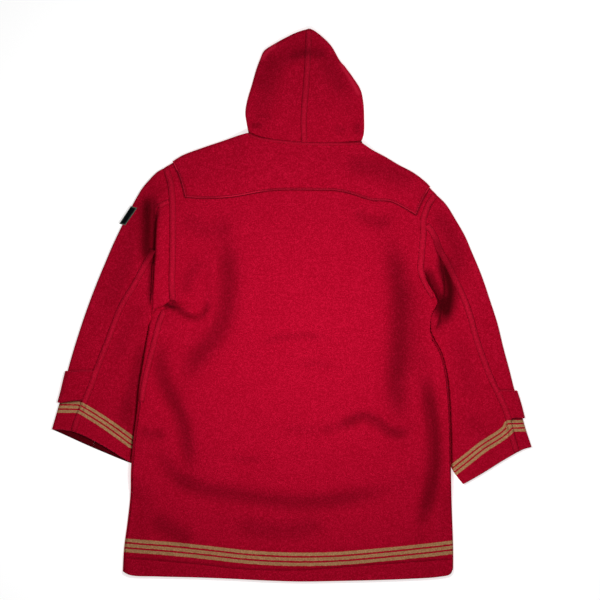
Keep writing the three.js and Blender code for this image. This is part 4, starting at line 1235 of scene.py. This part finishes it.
def drop(tree, xy):
    """Height of the cloth's top at each point: the highest of a few rays, so that no join lets one by."""
    heights = []
    for x, y in xy:
        hits = [tree.ray_cast(Vector(((x + dx) * MM, (y + dy) * MM, DROP_FROM)), Vector((0, 0, -1)))[0]
                for dx, dy in RAYS]
        heights.append(max([hit.z / MM for hit in hits if hit], default=0.0))
    return np.array(heights)


def calmed(values, times=2):
    for _ in range(times):
        padded = np.concatenate([values[:1], values, values[-1:]])
        values = (padded[:-2] + 2 * values + padded[2:]) / 4
    return values


def left_of(at):
    """The direction to the left of the way along a row of points, at each point."""
    going = unit(np.gradient(at, axis=0))
    return np.stack([-going[:, 1], going[:, 0]], -1)


def ways_beside(points, step):
    """Even points on a smooth line, and the direction to the left of it at each."""
    way = line(points)
    length = np.linalg.norm(np.diff(way(np.linspace(0, 1, SEARCH_POINTS)), axis=0), axis=1).sum()
    at = way(np.linspace(0, 1, max(3, round(length / step) + 1)))
    return at, left_of(at)


def drape(tree, at, aside, half):
    """Height under a band as a function of the share across it, from -1 to 1."""
    low, high = (calmed(drop(tree, at + aside * half * side)) for side in (-1, 1))
    near = (drop(tree, at + aside * half * side) for side in (-MIDDLE_RAYS, MIDDLE_RAYS))
    middle = np.maximum(calmed(sum(near) / 2), (low + high) / 2)

    def under(share):
        return middle * (1 - share**2) + low * share * (share - 1) / 2 + high * share * (share + 1) / 2

    return under


stitch_rows = []


def lay_band(name, tree, points, width, rise, bars=(), shade=1.0):
    at, aside = ways_beside(points, BAND_STEP)
    half = width / 2
    under = drape(tree, at, aside, half)

    def row(share, lift):
        return np.column_stack([at + aside * half * share, under(share) + lift])

    from_end = BAND_STEP * np.minimum(np.arange(len(at)), np.arange(len(at))[::-1])
    taper = smooth(from_end / END_TAPER)
    top = [row(share, rise * up * mix(END_RISE, 1, taper)) for share, up in BAND_PROFILE]
    rings = np.stack(top + [row(share, -SUNK) for share in BASE_SHARES], axis=1)
    ids = np.arange(rings.shape[0] * rings.shape[1]).reshape(rings.shape[:2])
    after = np.roll(ids, -1, axis=1)
    faces = np.stack([ids[:-1], after[:-1], after[1:], ids[1:]], -1).reshape(-1, 4).tolist()
    faces += [ids[0, ::-1].tolist(), ids[-1].tolist()]
    flat = rings.reshape(-1, 3)
    across = np.abs([share for share, _ in BAND_PROFILE] + [1.0] * len(BASE_SHARES))
    # The band's own painted shade and painted highlight, fading towards its ends.
    own, painted_highlight = (np.outer(taper, np.interp(across, BAND_SHADE_AT, amounts)).reshape(-1)
                 for amounts in (BAND_SHADE, BAND_HIGHLIGHT))
    deep = np.maximum(own * shade, cloth_hollow(flat[:, :2], name))
    made = to_object(name, flat, faces, wool, bars_of(flat, *bars) * CUFF_BARS if bars else None, deep, painted_highlight)
    face_outwards(made)
    stitch_rows.extend(row(share, rise * STITCH_RISE) for share in (-STITCH_AT, STITCH_AT))
    return made


def face_outwards(piece):
    """Turn every face of a closed piece outwards."""
    shape = bmesh.new()
    shape.from_mesh(piece.data)
    bmesh.ops.recalc_face_normals(shape, faces=shape.faces)
    shape.to_mesh(piece.data)
    shape.free()


def beside(along, start, end, shift, count=24):
    """Points beside a line, a distance to the left of it."""
    at = along(np.linspace(start, end, count))
    return at + shift * left_of(at)


def sleeve_seam(side, start, end, shift=0.0):
    cut = SLEEVES[side]
    armhole = ARMHOLES[side]
    along = line([armhole(share_near(armhole, cut["armhole_seam"])), *cut["seam"][1:]])
    return beside(along, start, end, shift, 30)


side_seam_v = np.linspace(PIT_SHARE + 0.006, 0.6, 28)
side_seam = back_plan(seam_share("left", side_seam_v), side_seam_v)
side_seam = side_seam[side_seam[:, 1] < BELOW_CREASE]

cloth_tree = tree_of(cloth.values())
along, across = np.meshgrid(np.linspace(0, 1, 15), shares(14, True, True, spacing=2)[::2], indexing="ij")
corners = np.array(TAB_CORNERS)
tab_sides = [mix(corners[i], corners[i + 1], along[..., None]) for i in (0, 2)]
tab_xy = mix(*tab_sides, across[..., None])
tab_heights = np.maximum(drop(cloth_tree, tab_xy.reshape(-1, 2)), TAB_LOWEST).reshape(along.shape)
tab = Weave()
tab_quads = tab.add("tab", lifted(tab_xy, tab_heights), True)
tab.finish()
points, faces, source = tab.wall(tab_quads.reshape(-1, 4), LAID_GAP + BADGE, LAID_GAP)
# Painted highlight along the tab's rim.
painted_highlight = line_mark(corners[[0, 1, 3, 2, 0]], source, TAB_EDGE)
cloth["sleeve_badge"] = to_object("sleeve_badge_cloth", points, faces, make_tab_material(), None, 0.0, painted_highlight)
BANDS = {  # name: path, width, height, the woven bars that cross it
    "hood_seam": (line(HOOD_SEAM)(np.linspace(0, 0.985, 20)), 14.2, 2.3, ()),
    "armhole_seam_left": (beside(BACK_ARMHOLES["left"], 0.004, 0.999, 5.2), 15.0, 2.4, ()),
    "armhole_seam_right": (beside(BACK_ARMHOLES["right"], 0.004, 0.74, -5.2), 15.0, 2.4, ()),
    "sleeve_seam_left_head": (sleeve_seam("left", 0.004, 0.05), 12.0, 1.8, ()),
    "sleeve_seam_left": (sleeve_seam("left", 0.22, 0.997, 2.5), 14.2, 2.3, ("bars_outer", "bars_inner")),
    "sleeve_seam_right": (sleeve_seam("right", 0.006, 0.997), 14.2, 2.3, ("bars_outer", "bars_inner")),
    "side_seam_left": (side_seam + (2.5, 0), 13.5, 2.2, ()),
    "neck_seam": (beside(neck_line, 0.01, 0.99, -1.4), 8.0, 1.7, ()),
}
seams = {}
for name, (path, width, rise, bars) in BANDS.items():
    side = "left" if "left" in name else "right"
    shade = NECK_SHADE if name == "neck_seam" else 1.0
    seams[name] = lay_band(name, cloth_tree, path, width, rise, [SLEEVES[side][row] for row in bars], shade)

# %% [markdown]
# ## Stitches
# Every felled seam, the yoke's edge, the hem and the cuffs are sewn with a strong thread dyed to match the
# cloth.
# The same short stitch repeats along each row, so a Geometry Nodes tree sets it out along lines of points.
# %% Stitches
STITCH_SIZES = {"Pitch": 0.0040, "Length": 0.0031, "Thickness": 0.0008}
STITCH_SINK = 0.2
THREAD_DARK, THREAD_LIGHT = (0.14, 0.0005, 0.006, 1), (0.24, 0.001, 0.012, 1)


def stitch_tree():
    """Short rounded stitches set out along lines, a pitch apart."""
    tree = bpy.data.node_groups.new("stitches", "GeometryNodeTree")
    tree.interface.new_socket("Lines", in_out="INPUT", socket_type="NodeSocketGeometry")
    sizes = {}
    for name, value in STITCH_SIZES.items():
        socket = tree.interface.new_socket(name, in_out="INPUT", socket_type="NodeSocketFloat")
        socket.default_value = value
        sizes[socket.identifier] = value
    tree.interface.new_socket("Stitches", in_out="OUTPUT", socket_type="NodeSocketGeometry")
    given = tree.nodes.new("NodeGroupInput").outputs
    thick = given["Thickness"]
    thread, _, _ = finely_woven("thread", THREAD_DARK, THREAD_LIGHT, 0.8, 0.05)
    curve = add_node(tree, "GeometryNodeMeshToCurve", {"Mesh": given["Lines"]})
    steps = {"Curve": curve, "Length": given["Pitch"]}
    tangent = add_node(tree, "GeometryNodeInputTangent", {})
    stitches = add_node(tree, "GeometryNodeInstanceOnPoints", {
        "Points": add_node(tree, "GeometryNodeResampleCurve", steps, mode="LENGTH"),
        "Instance": add_node(tree, "GeometryNodeMeshUVSphere", {"Segments": 6, "Rings": 4, "Radius": 0.5}),
        "Rotation": add_node(tree, "FunctionNodeAlignRotationToVector", {"Vector": tangent}, axis="X"),
        "Scale": add_node(tree, "ShaderNodeCombineXYZ", {"X": given["Length"], "Y": thick, "Z": thick}),
    })
    for kind in ("GeometryNodeRealizeInstances", "GeometryNodeSetShadeSmooth"):
        stitches = add_node(tree, kind, {"Geometry": stitches})
    stitches = add_node(tree, "GeometryNodeSetMaterial", {"Geometry": stitches, "Material": thread.material})
    fill(tree, tree.nodes.new("NodeGroupOutput"), {"Stitches": stitches})
    return tree, sizes


stitches_tree, stitch_sizes = stitch_tree()


def sew(name, rows):
    """Stitches along rows of points, in millimetres, as one plain mesh."""
    points, edges = [], []
    for row in rows:
        start = len(points)
        points += (np.asarray(row) * MM).tolist()
        edges += [(start + i, start + i + 1) for i in range(len(row) - 1)]
    lines = bpy.data.meshes.new(name + "_lines")
    lines.from_pydata(points, edges, [])
    holder = placed(name + "_lines", lines)
    modifier = holder.modifiers.new("stitches", "NODES")
    modifier.node_group = stitches_tree
    for socket, value in stitch_sizes.items():
        modifier[socket] = value
    depsgraph = bpy.context.evaluated_depsgraph_get()
    mesh = bpy.data.meshes.new_from_object(holder.evaluated_get(depsgraph))
    mesh.name = name
    holder.modifiers.clear()
    bpy.data.objects.remove(holder)
    return placed(name, mesh)


def inset_row(edge_points, inset):
    """A row of stitches a distance to the left of a line, on top of the cloth."""
    at, aside = ways_beside(edge_points, BAND_STEP)
    at = at + aside * inset
    return np.column_stack([at, calmed(drop(cloth_tree, at)) - STITCH_SINK])


CUFF_STITCHES = [
    [(-466, -253), (-420, -276), (-392, -292), (-362, -310)],
    [(396, -352), (418, -339), (464, -313), (508, -298)],
]
yoke_sides = (yoke_edge[[0, 6, 13, 19]], yoke_edge[19:99:4], yoke_edge[[98, 104, 111, 117]])
sewing = {
    "seam_stitches": stitch_rows,
    "edge_stitches": [inset_row(row, FROM_EDGE) for row in yoke_sides],
    "hem_stitches": [inset_row(row, 0.0) for row in [HEM_STITCHES, *CUFF_STITCHES]],
}
sewn = {name: sew(name, rows) for name, rows in sewing.items()}

# %% [markdown]
# ## Floor and light
# The coat lies on a plain pale table. Two soft lights and an even surround give the gentle studio light.
# %% Floor and light
FLOOR_SIZE, FLOOR_LEVEL = 6, -0.0005
LIT_SPOT = (0.05, -0.07, 0.0)
WHITE = (1, 1, 1, 1)
corners = [(x * FLOOR_SIZE, y * FLOOR_SIZE, FLOOR_LEVEL) for x, y in ((-1, -1), (1, -1), (1, 1), (-1, 1))]
floor_mesh = bpy.data.meshes.new("floor")
floor_mesh.from_pydata(corners, [], [(0, 1, 2, 3)])
table = Paint("pale_table")
table.surface({"Base Color": (0.8, 0.8, 0.8, 1), "Roughness": 0.9})
table.surface({"Emission Color": WHITE, "Emission Strength": 0.7})
floor_mesh.materials.append(table.material)
floor = placed("floor", floor_mesh)


def soft_light(name, place, size, power):
    data = bpy.data.lights.new(name, "AREA")
    data.shape = "DISK"
    data.size = size
    data.energy = power
    light = placed(name, data)
    light.location = place
    light.rotation_euler = (Vector(LIT_SPOT) - Vector(place)).to_track_quat("-Z", "Y").to_euler()
    light.visible_camera = False


soft_light("key", (0.02, -0.06, 0.84), 0.3, 6.2)
soft_light("side", (0.9, 0.9, 0.9), 0.5, 3.5)
world = bpy.data.worlds.new("surround")
world.use_nodes = True
fill(world.node_tree, world.node_tree.nodes["Background"], {"Color": WHITE, "Strength": 0.13})
bpy.context.scene.world = world
bpy.context.scene.view_settings.view_transform = "Standard"

CUTS = {  # name: width, length, area of the cut, what it lies on
    "back": (0.73, 0.97, 0.614, ("front_left", "front_right")),
    "front_left": (0.40, 0.97, 0.350, ()),
    "front_right": (0.40, 0.97, 0.332, ("front_left",)),
    "back_yoke": (0.55, 0.15, 0.060, ("back",)),
    "sleeve_left_top": (0.20, 0.65, 0.094, ()),
    "sleeve_left_under": (0.26, 0.60, 0.091, ()),
    "sleeve_right_top": (0.19, 0.64, 0.083, ()),
    "sleeve_right_under": (0.26, 0.60, 0.086, ()),
    "cuff_strap_left": (0.062, 0.066, 0.004, ("sleeve_left_top",)),
    "cuff_strap_right": (0.043, 0.064, 0.0026, ("sleeve_right_top",)),
    "sleeve_badge": (0.016, 0.050, 0.0007, ("sleeve_left_top",)),
    "hood_left": (0.25, 0.30, 0.054, ("back",)),
    "hood_right": (0.24, 0.30, 0.049, ("back",)),
}
for name, (width, length, area, rests_on) in CUTS.items():
    piece = cloth[name]
    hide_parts(name)
    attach(piece, "root")

for piece in [*seams.values(), *sewn.values()]:
    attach(piece, "root")
